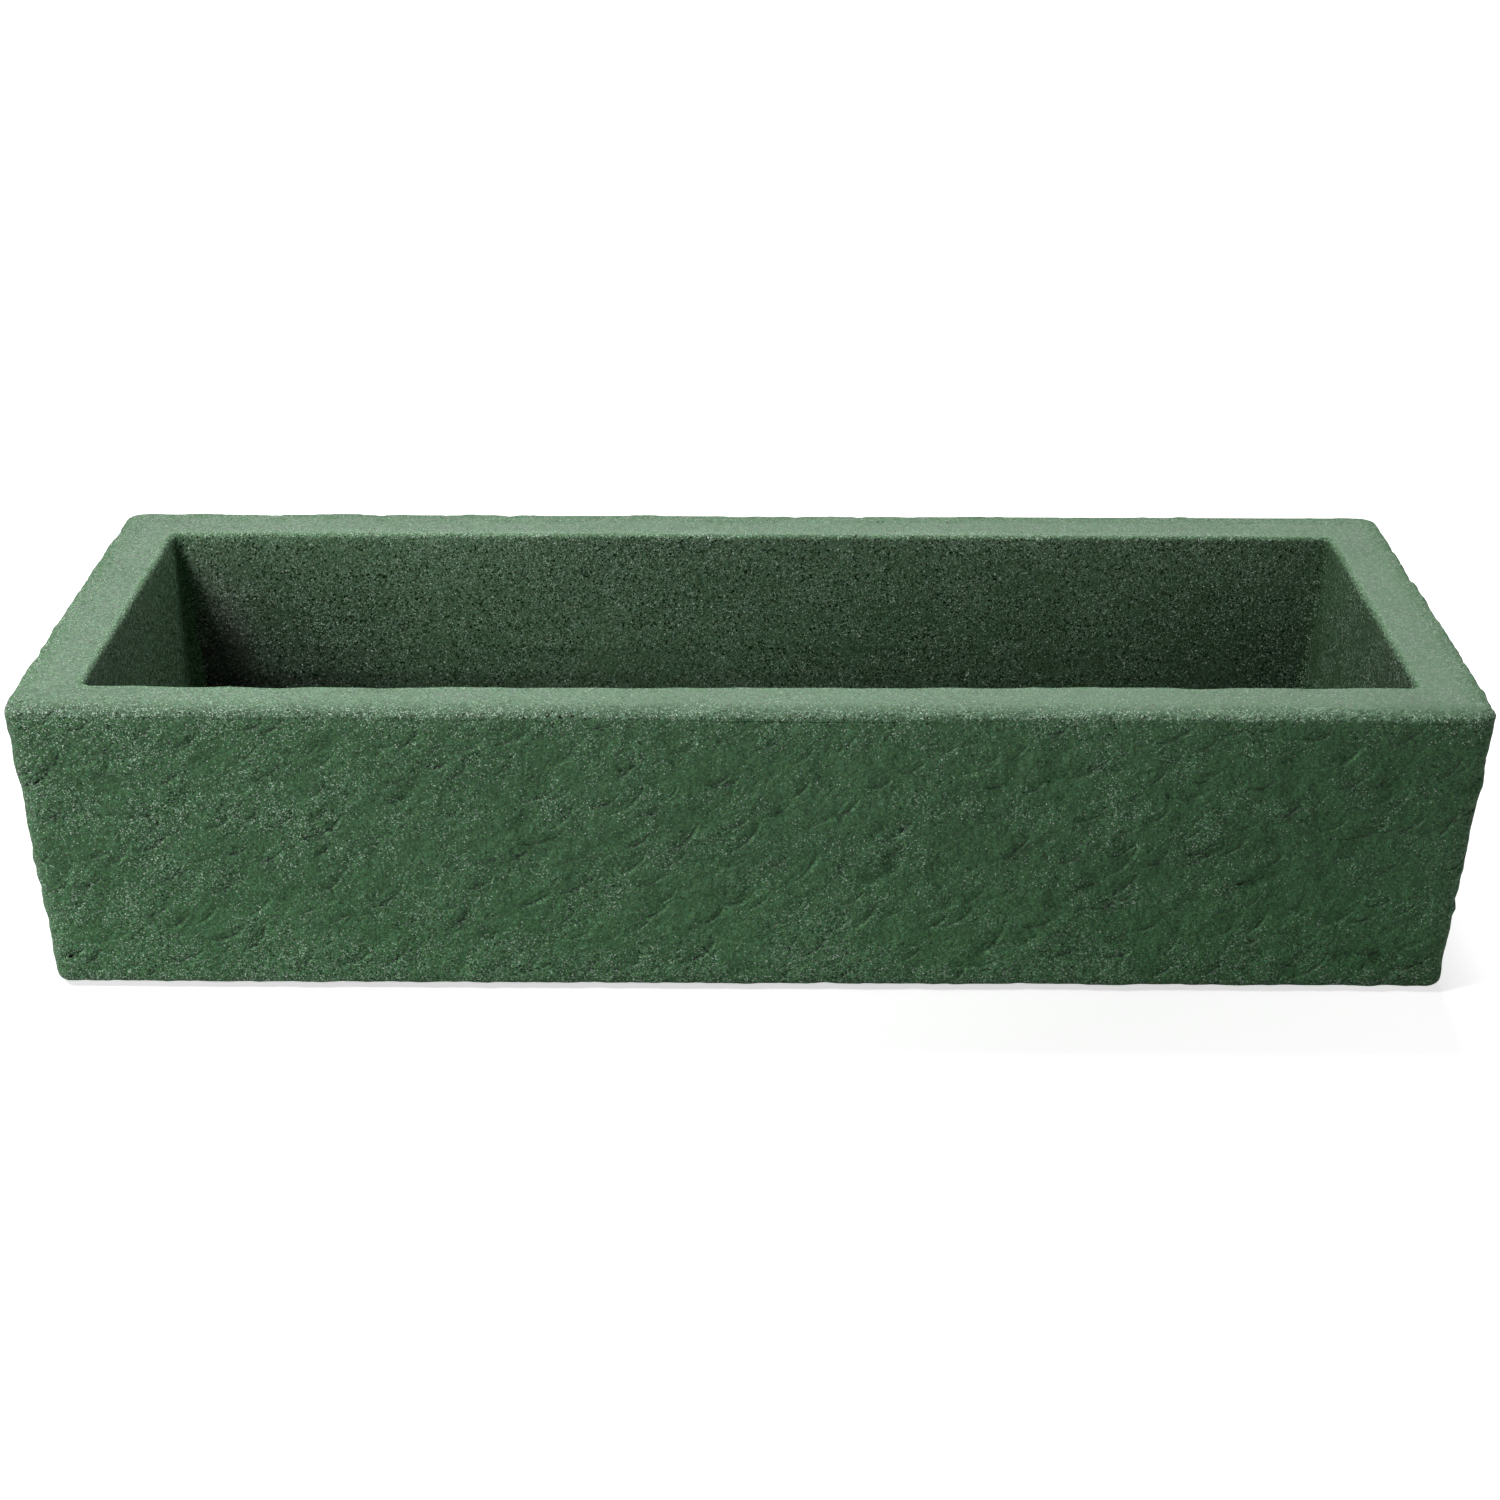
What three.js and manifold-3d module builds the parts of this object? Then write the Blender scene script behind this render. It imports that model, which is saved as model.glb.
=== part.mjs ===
// A cast stone trough planter: a long rectangular trough with drafted walls and a broad flat rim.
// Plastic drain sleeves are cast into its floor, a rubber plug closes each of them from inside,
// and the trough stands on rubber pads that are set into its underside.
// Millimetres, +Z up. The origin is on the ground under the middle of the trough.
// +X runs along the trough, and -Y is its front.

import * as THREE from "three";
import { mergeVertices } from "three/addons/utils/BufferGeometryUtils.js";
import Module from "manifold-3d";

// Outside of the trough
const RIM_LENGTH = 914;
const RIM_WIDTH = 356;
const TROUGH_HEIGHT = 197;
const FOOT_INSET = 10; // the foot lies this far inside the rim on every side
const OUTER_CORNER_RADIUS = 13; // upright corners, in plan
const RIM_EDGE_WIDTH = 14; // the rim's outer edge is a quarter of an oval
const RIM_EDGE_HEIGHT = 6.2;
const RIM_BAND = 0.6; // upright, between the rim's edge and the mould's parting line
const FOOT_ROUND = 4;

// Inside of the trough
const WALL_AT_RIM = 42;
const FLOOR_THICKNESS = 45;
const CAVITY_INSET = 12; // the floor's edge lies this far inside the mouth on every side
const CAVITY_RIM_CORNER_RADIUS = 5; // upright corners, in plan, at the mouth
const CAVITY_FLOOR_CORNER_RADIUS = 7; // and at the floor
const RIM_INNER_ROUND = 4;
const FLOOR_FILLET = 9;
const LEAST_CORNER_RADIUS = 1;

// Drain sleeves, cast into the floor
const DRAIN_SPACING = 280;
const DRAIN_BORE_RADIUS = 16;
const SLEEVE_WALL = 2.5;
const SLEEVE_FLANGE_WIDTH = 7; // beyond the sleeve's outside
const SLEEVE_FLANGE_THICKNESS = 3;
const CAST_GAP = 0.3; // shrinkage between the stone and what is cast into it

// Drain plugs
const PLUG_CLEARANCE = 0.35; // round the stem at its top
const PLUG_TAPER = 1.5; // the stem's foot is narrower by this, in radius
const PLUG_STEM_LENGTH = 24;
const PLUG_FLANGE_OVERLAP = 5; // beyond the bore
const PLUG_FLANGE_THICKNESS = 3;
const PLUG_SEAT_GAP = 0.3;
const PLUG_NECK_RADIUS = 5;
const PLUG_NECK_HEIGHT = 6;
const PLUG_KNOB_RADIUS = 9;
const PLUG_KNOB_THICKNESS = 5;
const PLUG_EDGE_ROUND = 1;

// Foot pads
const PAD_RADIUS = 25;
const PAD_STAND = 4; // the pads hold the stone this far off the ground
const PAD_RECESS_DEPTH = 4;
const PAD_SIDE_CLEARANCE = 0.5;
const PAD_GLUE_GAP = 0.3;
const PAD_EDGE_DISTANCE = 45; // from the foot's edge to the pad's centre
const PAD_EDGE_ROUND = 1.5;

// Cutters reach this far past what they cut
const OVERRUN = 5;

// Facets
const CORNER_STEPS = 6; // of an upright corner
const ARC_STEPS = 4; // of a rounded edge
const OVAL_STEPS = 8; // of the rim's outer edge
const ROUND_SIDES = 32; // of a full turn

// Heights
const UNDERSIDE_Z = PAD_STAND;
const FLOOR_Z = UNDERSIDE_Z + FLOOR_THICKNESS;
const RIM_Z = UNDERSIDE_Z + TROUGH_HEIGHT;
const PARTING_Z = RIM_Z - RIM_EDGE_HEIGHT - RIM_BAND;

// Radii and places that several pieces share
const SLEEVE_RADIUS = DRAIN_BORE_RADIUS + SLEEVE_WALL;
const SLEEVE_FLANGE_RADIUS = SLEEVE_RADIUS + SLEEVE_FLANGE_WIDTH;
const DRAINS = [
  { side: "left", x: -DRAIN_SPACING },
  { side: "centre", x: 0 },
  { side: "right", x: DRAIN_SPACING },
];
const PAD_X = RIM_LENGTH / 2 - FOOT_INSET - PAD_EDGE_DISTANCE;
const PAD_Y = RIM_WIDTH / 2 - FOOT_INSET - PAD_EDGE_DISTANCE;
const PADS = [
  { corner: "front_left", x: -PAD_X, y: -PAD_Y },
  { corner: "front_right", x: PAD_X, y: -PAD_Y },
  { corner: "back_left", x: -PAD_X, y: PAD_Y },
  { corner: "back_right", x: PAD_X, y: PAD_Y },
];

const stone = new THREE.MeshStandardMaterial({ color: 0x5b7e5d, roughness: 0.9, metalness: 0 });
const sleevePlastic = new THREE.MeshStandardMaterial({ color: 0x2b2d2e, roughness: 0.5, metalness: 0 });
const plugRubber = new THREE.MeshStandardMaterial({ color: 0x1d1e1f, roughness: 0.75, metalness: 0 });
const padRubber = new THREE.MeshStandardMaterial({ color: 0x232323, roughness: 0.85, metalness: 0 });

const wasm = await Module();
wasm.setup();

// Solids

function solidOf(geometry) {
  const bare = geometry.clone();
  bare.deleteAttribute("normal");
  bare.deleteAttribute("uv");
  const merged = mergeVertices(bare);
  return new wasm.Manifold(
    new wasm.Mesh({
      numProp: 3,
      vertProperties: merged.attributes.position.array,
      triVerts: new Uint32Array(merged.index.array),
    }),
  );
}

function geometryOf(solid) {
  const { vertProperties, triVerts } = solid.getMesh();
  const geometry = new THREE.BufferGeometry();
  geometry.setAttribute("position", new THREE.BufferAttribute(vertProperties, 3));
  geometry.setIndex(new THREE.BufferAttribute(triVerts, 1));
  geometry.computeVertexNormals();
  return geometry;
}

// A round post standing at (x, y) from one height to another.
function post(radius, x, y, bottom, top) {
  return new THREE.CylinderGeometry(radius, radius, top - bottom, ROUND_SIDES)
    .rotateX(Math.PI / 2)
    .translate(x, y, (bottom + top) / 2);
}

// Turns an outline of (radius, height) points round the Z axis.
function turned(outline) {
  return new THREE.LatheGeometry(outline, ROUND_SIDES).rotateX(Math.PI / 2);
}

// Outlines

// The points of an arc that rounds off the corner of a line.
function roundedCorner(before, corner, after, radius) {
  const back = before.clone().sub(corner).normalize();
  const ahead = after.clone().sub(corner).normalize();
  const half = Math.acos(back.dot(ahead)) / 2;
  const middle = back.clone().add(ahead).normalize();
  const centre = corner.clone().addScaledVector(middle, radius / Math.sin(half));
  const first = corner.clone().addScaledVector(back, radius / Math.tan(half)).sub(centre);
  const last = corner.clone().addScaledVector(ahead, radius / Math.tan(half)).sub(centre);
  const turn = Math.atan2(first.cross(last), first.dot(last));
  return Array.from({ length: ARC_STEPS + 1 }, (_, step) =>
    first.clone().rotateAround(new THREE.Vector2(), (turn * step) / ARC_STEPS).add(centre),
  );
}

// A line through the given corners, each rounded by its own radius. Its two ends stay as they are.
function roundedLine(corners) {
  return corners.flatMap(({ at, round }, i) =>
    round ? roundedCorner(corners[i - 1].at, at, corners[i + 1].at, round) : [at],
  );
}

function point(x, y) {
  return new THREE.Vector2(x, y);
}

// Trough

// A level rounded rectangle, anticlockwise from above, that lies inset inside the rim's outline.
function ring(inset, z, cornerRadius) {
  const radius = Math.max(cornerRadius, LEAST_CORNER_RADIUS);
  const cornerX = RIM_LENGTH / 2 - inset - radius;
  const cornerY = RIM_WIDTH / 2 - inset - radius;
  const quarters = [
    [cornerX, cornerY],
    [-cornerX, cornerY],
    [-cornerX, -cornerY],
    [cornerX, -cornerY],
  ];
  return quarters.flatMap(([x, y], quarter) =>
    Array.from({ length: CORNER_STEPS + 1 }, (_, step) => {
      const angle = (quarter + step / CORNER_STEPS) * (Math.PI / 2);
      return new THREE.Vector3(x + radius * Math.cos(angle), y + radius * Math.sin(angle), z);
    }),
  );
}

// The section of the rim's outer edge, from upright at the rim's outline to level at its top.
function rimEdge() {
  return Array.from({ length: OVAL_STEPS + 1 }, (_, step) => {
    const angle = ((Math.PI / 2) * step) / OVAL_STEPS;
    return point(
      RIM_EDGE_WIDTH * (1 - Math.cos(angle)),
      RIM_Z - RIM_EDGE_HEIGHT * (1 - Math.sin(angle)),
    );
  });
}

// The section of the outside, from the underside up to the top of the rim.
function outsideRings() {
  const wall = roundedLine([
    { at: point(FOOT_INSET + FOOT_ROUND + WALL_AT_RIM, UNDERSIDE_Z) },
    { at: point(FOOT_INSET, UNDERSIDE_Z), round: FOOT_ROUND },
    { at: point(0, PARTING_Z) },
  ]).slice(1);
  return [...wall, ...rimEdge()].map(({ x: inset, y: z }) => {
    const wallInset = Math.max(0, (FOOT_INSET * (PARTING_Z - z)) / (PARTING_Z - UNDERSIDE_Z));
    return ring(inset, z, OUTER_CORNER_RADIUS - (inset - wallInset));
  });
}

// The section of the cavity, from the top of the rim down to the floor.
function cavityRings() {
  const section = roundedLine([
    { at: point(0, RIM_Z) },
    { at: point(WALL_AT_RIM, RIM_Z), round: RIM_INNER_ROUND },
    { at: point(WALL_AT_RIM + CAVITY_INSET, FLOOR_Z), round: FLOOR_FILLET },
    { at: point(RIM_WIDTH / 2, FLOOR_Z) },
  ]).slice(1, -1);
  return section.map(({ x: inset, y: z }) => {
    const depthShare = (RIM_Z - z) / (RIM_Z - FLOOR_Z);
    const wallInset = WALL_AT_RIM + CAVITY_INSET * depthShare;
    const cornerRadius = THREE.MathUtils.lerp(
      CAVITY_RIM_CORNER_RADIUS,
      CAVITY_FLOOR_CORNER_RADIUS,
      depthShare,
    );
    return ring(inset, z, cornerRadius - (inset - wallInset));
  });
}

// Joins rings of equal length into one skin, and closes it with a flat fan at both ends.
function skinOf(rings) {
  const count = rings[0].length;
  const points = rings.flat();
  const triangles = [];
  for (let r = 0; r + 1 < rings.length; r += 1) {
    for (let i = 0; i < count; i += 1) {
      const next = (i + 1) % count;
      const [a, b] = [r * count + i, r * count + next];
      triangles.push(a, b, b + count, a, b + count, a + count);
    }
  }
  const lastRing = (rings.length - 1) * count;
  const firstCentre = points.push(new THREE.Vector3(0, 0, rings[0][0].z)) - 1;
  const lastCentre = points.push(new THREE.Vector3(0, 0, rings.at(-1)[0].z)) - 1;
  for (let i = 0; i < count; i += 1) {
    const next = (i + 1) % count;
    triangles.push(firstCentre, next, i, lastCentre, lastRing + i, lastRing + next);
  }
  return new THREE.BufferGeometry().setFromPoints(points).setIndex(triangles);
}

function troughBody() {
  let body = solidOf(skinOf([...outsideRings(), ...cavityRings()]));
  for (const { x } of DRAINS) {
    const hole = post(SLEEVE_RADIUS + CAST_GAP, x, 0, UNDERSIDE_Z - OVERRUN, FLOOR_Z + OVERRUN);
    const flangeSeat = post(
      SLEEVE_FLANGE_RADIUS + CAST_GAP,
      x,
      0,
      FLOOR_Z - SLEEVE_FLANGE_THICKNESS - CAST_GAP,
      FLOOR_Z + OVERRUN,
    );
    body = body.subtract(solidOf(hole)).subtract(solidOf(flangeSeat));
  }
  for (const { x, y } of PADS) {
    const recess = post(
      PAD_RADIUS + PAD_SIDE_CLEARANCE,
      x,
      y,
      UNDERSIDE_Z - OVERRUN,
      UNDERSIDE_Z + PAD_RECESS_DEPTH,
    );
    body = body.subtract(solidOf(recess));
  }
  return geometryOf(body);
}

// Drains

// A plastic tube through the floor, with a flange that lies flush with the floor. Its foot is at height 0.
function drainSleeve() {
  const height = FLOOR_THICKNESS;
  const flangeFoot = height - SLEEVE_FLANGE_THICKNESS;
  return turned([
    point(DRAIN_BORE_RADIUS, 0),
    point(SLEEVE_RADIUS, 0),
    point(SLEEVE_RADIUS, flangeFoot),
    point(SLEEVE_FLANGE_RADIUS, flangeFoot),
    point(SLEEVE_FLANGE_RADIUS, height),
    point(DRAIN_BORE_RADIUS, height),
    point(DRAIN_BORE_RADIUS, 0),
  ]);
}

// A rubber stopper: a tapered stem, a flange and a knob to pull it by. The flange's underside is at height 0.
function drainPlug() {
  const stemRadius = DRAIN_BORE_RADIUS - PLUG_CLEARANCE;
  const flangeRadius = DRAIN_BORE_RADIUS + PLUG_FLANGE_OVERLAP;
  const neckTop = PLUG_FLANGE_THICKNESS + PLUG_NECK_HEIGHT;
  const knobTop = neckTop + PLUG_KNOB_THICKNESS;
  return turned(
    roundedLine([
      { at: point(0, -PLUG_STEM_LENGTH) },
      { at: point(stemRadius - PLUG_TAPER, -PLUG_STEM_LENGTH), round: PLUG_EDGE_ROUND },
      { at: point(stemRadius, 0) },
      { at: point(flangeRadius, 0) },
      { at: point(flangeRadius, PLUG_FLANGE_THICKNESS), round: PLUG_EDGE_ROUND },
      { at: point(PLUG_NECK_RADIUS, PLUG_FLANGE_THICKNESS) },
      { at: point(PLUG_NECK_RADIUS, neckTop) },
      { at: point(PLUG_KNOB_RADIUS, neckTop) },
      { at: point(PLUG_KNOB_RADIUS, knobTop), round: PLUG_EDGE_ROUND },
      { at: point(0, knobTop) },
    ]),
  );
}

// A round rubber pad that stands on the ground, its top glued into a recess of the underside.
function footPad() {
  const top = PAD_STAND + PAD_RECESS_DEPTH - PAD_GLUE_GAP;
  return turned(
    roundedLine([
      { at: point(0, 0) },
      { at: point(PAD_RADIUS, 0), round: PAD_EDGE_ROUND },
      { at: point(PAD_RADIUS, top) },
      { at: point(0, top) },
    ]),
  );
}

// Assembly

const planter = new THREE.Group();

function place(name, geometry, material, x, y, z) {
  const mesh = new THREE.Mesh(geometry, material);
  mesh.name = name;
  mesh.position.set(x, y, z);
  planter.add(mesh);
}

place("trough_body", troughBody(), stone, 0, 0, 0);
for (const { side, x } of DRAINS) {
  place(`drain_sleeve_${side}`, drainSleeve(), sleevePlastic, x, 0, UNDERSIDE_Z);
  place(`drain_plug_${side}`, drainPlug(), plugRubber, x, 0, FLOOR_Z + PLUG_SEAT_GAP);
}
for (const { corner, x, y } of PADS) {
  place(`foot_pad_${corner}`, footPad(), padRubber, x, y, 0);
}

export default planter;
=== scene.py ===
# A cast stone trough planter on a pale studio floor, seen from the front and a little above.
# Metres, +Z up. +X runs along the trough and -Y is its front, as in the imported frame.

import math
from collections import namedtuple
from functools import partial, reduce

import bmesh
import bpy
import numpy as np
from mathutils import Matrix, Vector
from mathutils.geometry import delaunay_2d_cdt


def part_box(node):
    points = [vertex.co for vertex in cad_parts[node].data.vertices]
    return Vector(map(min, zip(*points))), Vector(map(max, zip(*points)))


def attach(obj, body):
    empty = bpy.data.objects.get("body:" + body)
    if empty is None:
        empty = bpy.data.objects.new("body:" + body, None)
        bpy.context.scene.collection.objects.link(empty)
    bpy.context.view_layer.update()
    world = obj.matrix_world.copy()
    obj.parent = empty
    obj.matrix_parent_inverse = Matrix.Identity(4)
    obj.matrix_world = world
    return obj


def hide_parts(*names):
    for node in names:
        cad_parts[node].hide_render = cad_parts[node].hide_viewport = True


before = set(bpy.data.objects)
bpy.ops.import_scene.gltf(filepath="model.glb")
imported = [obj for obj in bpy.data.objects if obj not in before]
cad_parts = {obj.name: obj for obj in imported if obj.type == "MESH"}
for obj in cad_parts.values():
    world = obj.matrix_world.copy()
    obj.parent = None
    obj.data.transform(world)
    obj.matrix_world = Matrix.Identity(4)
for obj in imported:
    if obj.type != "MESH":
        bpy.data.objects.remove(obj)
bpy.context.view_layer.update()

MM = 0.001
TURN = 2 * math.pi
QUARTER_TURN = TURN / 4

# The trough's outside, from the frame's boxes
TROUGH_LOW, TROUGH_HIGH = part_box("trough_body")
RIM_LENGTH = TROUGH_HIGH[0] - TROUGH_LOW[0]
RIM_WIDTH = TROUGH_HIGH[1] - TROUGH_LOW[1]
UNDERSIDE_Z = TROUGH_LOW[2]
RIM_Z = TROUGH_HIGH[2]

# The rest of the trough, as it was cast
FOOT_INSET = 10 * MM
FOOT_ROUND = 4 * MM
OUTER_CORNER_RADIUS = 13 * MM
RIM_EDGE_WIDTH = 14 * MM
RIM_EDGE_HEIGHT = 6.2 * MM
RIM_BAND = 0.6 * MM
PARTING_Z = RIM_Z - RIM_EDGE_HEIGHT - RIM_BAND
PARTING_GROOVE_HALF = RIM_BAND
WALL_SLOPE = FOOT_INSET / (PARTING_Z - UNDERSIDE_Z)
WALL_AT_RIM = 42 * MM
RIM_INNER_ROUND = 4 * MM
CAVITY_INSET = 12 * MM
CAVITY_RIM_CORNER_RADIUS = 5 * MM
CAVITY_FLOOR_CORNER_RADIUS = 7 * MM
FLOOR_FILLET = 9 * MM
FLOOR_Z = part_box("drain_sleeve_centre")[1][2]
LEAST_CORNER_RADIUS = 1 * MM

# Drains and pads
CAST_GAP = 0.3 * MM
SLEEVE_WALL = 2.5 * MM
SLEEVE_FLANGE_WIDTH = 7 * MM
SLEEVE_FLANGE_THICKNESS = 3 * MM
PLUG_CLEARANCE = 0.35 * MM
PLUG_TAPER = 1.5 * MM
PLUG_STEM_LENGTH = 24 * MM
PLUG_FLANGE_THICKNESS = 3 * MM
PLUG_NECK_RADIUS = 5 * MM
PLUG_NECK_HEIGHT = 6 * MM
PLUG_KNOB_RADIUS = 9 * MM
PAD_SIDE_CLEARANCE = 0.5 * MM
PAD_GLUE_GAP = 0.3 * MM
PAD_GROOVE_RADII = (9 * MM, 17 * MM)
PAD_GROOVE_DEPTH = 0.8 * MM
SMALL_ROUND = 0.5 * MM
WIDE_ROUND = 1.5 * MM
STONE_EDGE_BEVEL = 0.6 * MM
DRAIN_SIDES = ("left", "centre", "right")
PAD_CORNERS = ("front_left", "front_right", "back_left", "back_right")

# How fine the meshes are, and the angles from which their edges are sharp
MESH_STEP = 2.9 * MM
CAVITY_MESH_STEP = 6 * MM
FLAT_MESH_STEP = 14 * MM
HOLE_MARGIN = FLAT_MESH_STEP / 3
MERGED_DISTANCE = 0.001 * MM
CORNER_STEPS = 8
ARC_STEPS = 5
OVAL_STEPS = 2 * ARC_STEPS
HOLE_STEPS = 64
STONE_SHARP_ANGLE = math.radians(50)
TURNED_SHARP_ANGLE = math.radians(40)


def middle(node):
    """The middle of a node's box, seen from above."""
    low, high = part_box(node)
    return (low[0] + high[0]) / 2, (low[1] + high[1]) / 2


def box_radius(node):
    """Half the width of a round node's box."""
    low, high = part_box(node)
    return (high[0] - low[0]) / 2


# Noise

NOISE_TABLE_SIZE = 256


def eased(t):
    """A rise from 0 to 1 that is level at both ends."""
    return t * t * t * (t * (t * 6 - 15) + 10)


def gradient_noise(x, y, seed):
    """Smooth noise, about -0.7 to 0.7, at each pair of coordinates, from slopes at whole numbers."""
    rng = np.random.default_rng(seed)
    table = rng.permutation(NOISE_TABLE_SIZE)
    angles = rng.uniform(0, TURN, NOISE_TABLE_SIZE)
    x0, y0 = np.floor(x).astype(int), np.floor(y).astype(int)
    fx, fy = x - x0, y - y0

    def corner(i, j):
        column = table[(x0 + i) % NOISE_TABLE_SIZE]
        angle = angles[table[(column + y0 + j) % NOISE_TABLE_SIZE]]
        return np.cos(angle) * (fx - i) + np.sin(angle) * (fy - j)

    sx, sy = eased(fx), eased(fy)
    low = corner(0, 0) * (1 - sx) + corner(1, 0) * sx
    high = corner(0, 1) * (1 - sx) + corner(1, 1) * sx
    return low * (1 - sy) + high * sy


def layered_noise(x, y, seed, layers):
    """The same noise with finer and weaker layers added."""
    noises = (gradient_noise(x * 2**i, y * 2**i, seed + i) / 2**i for i in range(layers))
    return sum(noises)


# Outlines


def rounded_corner(before, corner, after, radius):
    """The points of an arc that rounds off the corner of a line."""
    back = (before - corner).normalized()
    ahead = (after - corner).normalized()
    half = math.acos(back.dot(ahead)) / 2
    centre = corner + (back + ahead).normalized() * (radius / math.sin(half))
    first = corner + back * (radius / math.tan(half)) - centre
    last = corner + ahead * (radius / math.tan(half)) - centre
    turn = math.atan2(first.x * last.y - first.y * last.x, first.dot(last))
    start = math.atan2(first.y, first.x)
    angles = [start + turn * step / ARC_STEPS for step in range(ARC_STEPS + 1)]
    return [centre + radius * Vector((math.cos(angle), math.sin(angle))) for angle in angles]


def oval_corner(width, height):
    """The points of a quarter of an oval, from upright at the rim's outline to level at its top."""
    angles = [QUARTER_TURN * step / OVAL_STEPS for step in range(OVAL_STEPS + 1)]
    return [
        Vector((width * (1 - math.cos(angle)), RIM_Z - height * (1 - math.sin(angle))))
        for angle in angles
    ]


def rounded_line(*corners):
    """A line through (x, y, radius) corners, each rounded off by its own radius."""
    places = [Vector(corner[:2]) for corner in corners]
    points = []
    for i, (x, y, radius) in enumerate(corners):
        if radius:
            points += rounded_corner(places[i - 1], places[i], places[i + 1], radius)
        else:
            points.append(places[i])
    return points


def divided(points, longest):
    """The same line with extra points, so that no stretch of it is too long."""
    result = [points[0]]
    for start, end in zip(points, points[1:]):
        pieces = max(1, math.ceil((end - start).length / longest))
        result += [start.lerp(end, i / pieces) for i in range(1, pieces + 1)]
    return result


def lengths_along(points):
    """How far along the line each of its points lies."""
    steps = [(b - a).length for a, b in zip(points, points[1:])]
    return np.concatenate([[0], np.cumsum(steps)])


def circle(centre, radius, height):
    """The points of a level circle."""
    x, y = centre
    angles = [TURN * step / HOLE_STEPS for step in range(HOLE_STEPS)]
    return [(x + radius * math.cos(a), y + radius * math.sin(a), height) for a in angles]


def spread(low, high, step):
    """Places between two bounds, a step apart, with none on the bounds."""
    count = math.floor((high - low) / step)
    return [low + (high - low) * (i + 0.5) / count for i in range(count)]


# Meshes

SKIN_PLACES = "round_and_up"
WITHIN_THE_BORDER = 1  # the kind of triangulation that stops at the border
PLAN_SHIFT = 1  # moves the plan away from the unrolled skin, to places below 0


class Skin:
    """The points and faces of a mesh that is being put together."""

    def __init__(self):
        self.points = []
        self.places = []
        self.faces = []

    def add(self, points, places=None):
        """Adds points, with their places round and up the skin if they have any. Gives their numbers."""
        first = len(self.points)
        self.points += np.asarray(points, float).tolist()
        self.places += [(math.nan, math.nan)] * len(points) if places is None else list(places)
        return np.arange(first, len(self.points))

    def join(self, loop, other):
        """Joins two closed loops of equally many points."""
        self.faces += zip(loop, np.roll(loop, -1), np.roll(other, -1), other)

    def join_all(self, loops):
        """Joins each loop of a row to the next."""
        for loop, following in zip(loops, loops[1:]):
            self.join(loop, following)

    def join_half(self, loop, half):
        """Joins a closed loop to one with half as many points."""
        first, second, third = loop[::2], loop[1::2], np.roll(loop[::2], -1)
        ahead = np.roll(half, -1)
        self.faces += zip(first, second, half)
        self.faces += zip(second, ahead, half)
        self.faces += zip(second, third, ahead)

    def cap(self, loop, centre):
        """Closes a loop with a fan."""
        (top,) = self.add([centre])
        self.faces += [(a, b, top) for a, b in zip(loop, np.roll(loop, -1))]

    def level(self, border, holes, height):
        """Fills a level, convex border round (x, y, radius) holes. Gives each hole's loop of points."""
        low = np.min([self.points[i] for i in border], axis=0)
        high = np.max([self.points[i] for i in border], axis=0)
        loops = [self.add(circle((x, y), radius, height)) for x, y, radius in holes]
        grid = [
            (x, y, height)
            for x in spread(low[0], high[0], FLAT_MESH_STEP)
            for y in spread(low[1], high[1], FLAT_MESH_STEP)
            if all(math.dist((x, y), hole[:2]) > hole[2] + HOLE_MARGIN for hole in holes)
        ]
        numbers = np.concatenate([border, *loops, self.add(grid)])
        edges = []
        start = 0
        for loop in (border, *loops):
            count = len(loop)
            edges += [(start + i, start + (i + 1) % count) for i in range(count)]
            start += count
        flat = [Vector(self.points[i][:2]) for i in numbers]
        found, _, faces, origins, _, _ = delaunay_2d_cdt(flat, edges, [], WITHIN_THE_BORDER, MERGED_DISTANCE)
        for face in faces:
            place = sum((found[i] for i in face), Vector((0, 0))) / len(face)
            if all((place - Vector(hole[:2])).length > hole[2] for hole in holes):
                self.faces.append(tuple(numbers[origins[i][0]] for i in face))
        return loops

    def unroll(self, mesh, perimeter):
        """Writes where each face lies on the unrolled skin, or in plan where it lies off the rings."""
        corner_points = np.array([corner.vertex_index for corner in mesh.loops])
        starts = np.array([face.loop_start for face in mesh.polygons])
        counts = np.diff(np.append(starts, len(corner_points)))
        places = np.array(self.places)[corner_points]
        least = np.repeat(np.minimum.reduceat(places[:, 0], starts), counts)
        most = np.repeat(np.maximum.reduceat(places[:, 0], starts), counts)
        over_the_seam = (most - least > perimeter / 2) & (places[:, 0] < perimeter / 2)
        places[over_the_seam, 0] += perimeter
        plan = np.array(self.points)[corner_points, :2] - PLAN_SHIFT
        off_the_rings = np.isnan(least)
        places[off_the_rings] = plan[off_the_rings]
        mesh.uv_layers.new(name=SKIN_PLACES).data.foreach_set("uv", places.ravel())

    def build(self, name, sharp_angle, perimeter=math.inf):
        """Makes the mesh an object, smooth up to an angle between its faces."""
        mesh = bpy.data.meshes.new(name)
        mesh.from_pydata(self.points, [], [tuple(int(i) for i in face) for face in self.faces])
        work = bmesh.new()
        work.from_mesh(mesh)
        bmesh.ops.recalc_face_normals(work, faces=work.faces)
        work.to_mesh(mesh)
        work.free()
        self.unroll(mesh, perimeter)
        mesh.shade_smooth()
        mesh.set_sharp_from_angle(angle=sharp_angle)
        return linked(name, mesh)


def linked(name, data):
    """A new object in the scene."""
    made = bpy.data.objects.new(name, data)
    bpy.context.scene.collection.objects.link(made)
    return made


# The trough's rings


def even_steps(length):
    """How many mesh steps a length takes, as an even number."""
    return round(length / MESH_STEP / 2) * 2


ALONG_X_STEPS = even_steps(RIM_LENGTH - 2 * OUTER_CORNER_RADIUS)
ALONG_Y_STEPS = even_steps(RIM_WIDTH - 2 * OUTER_CORNER_RADIUS)


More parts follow.
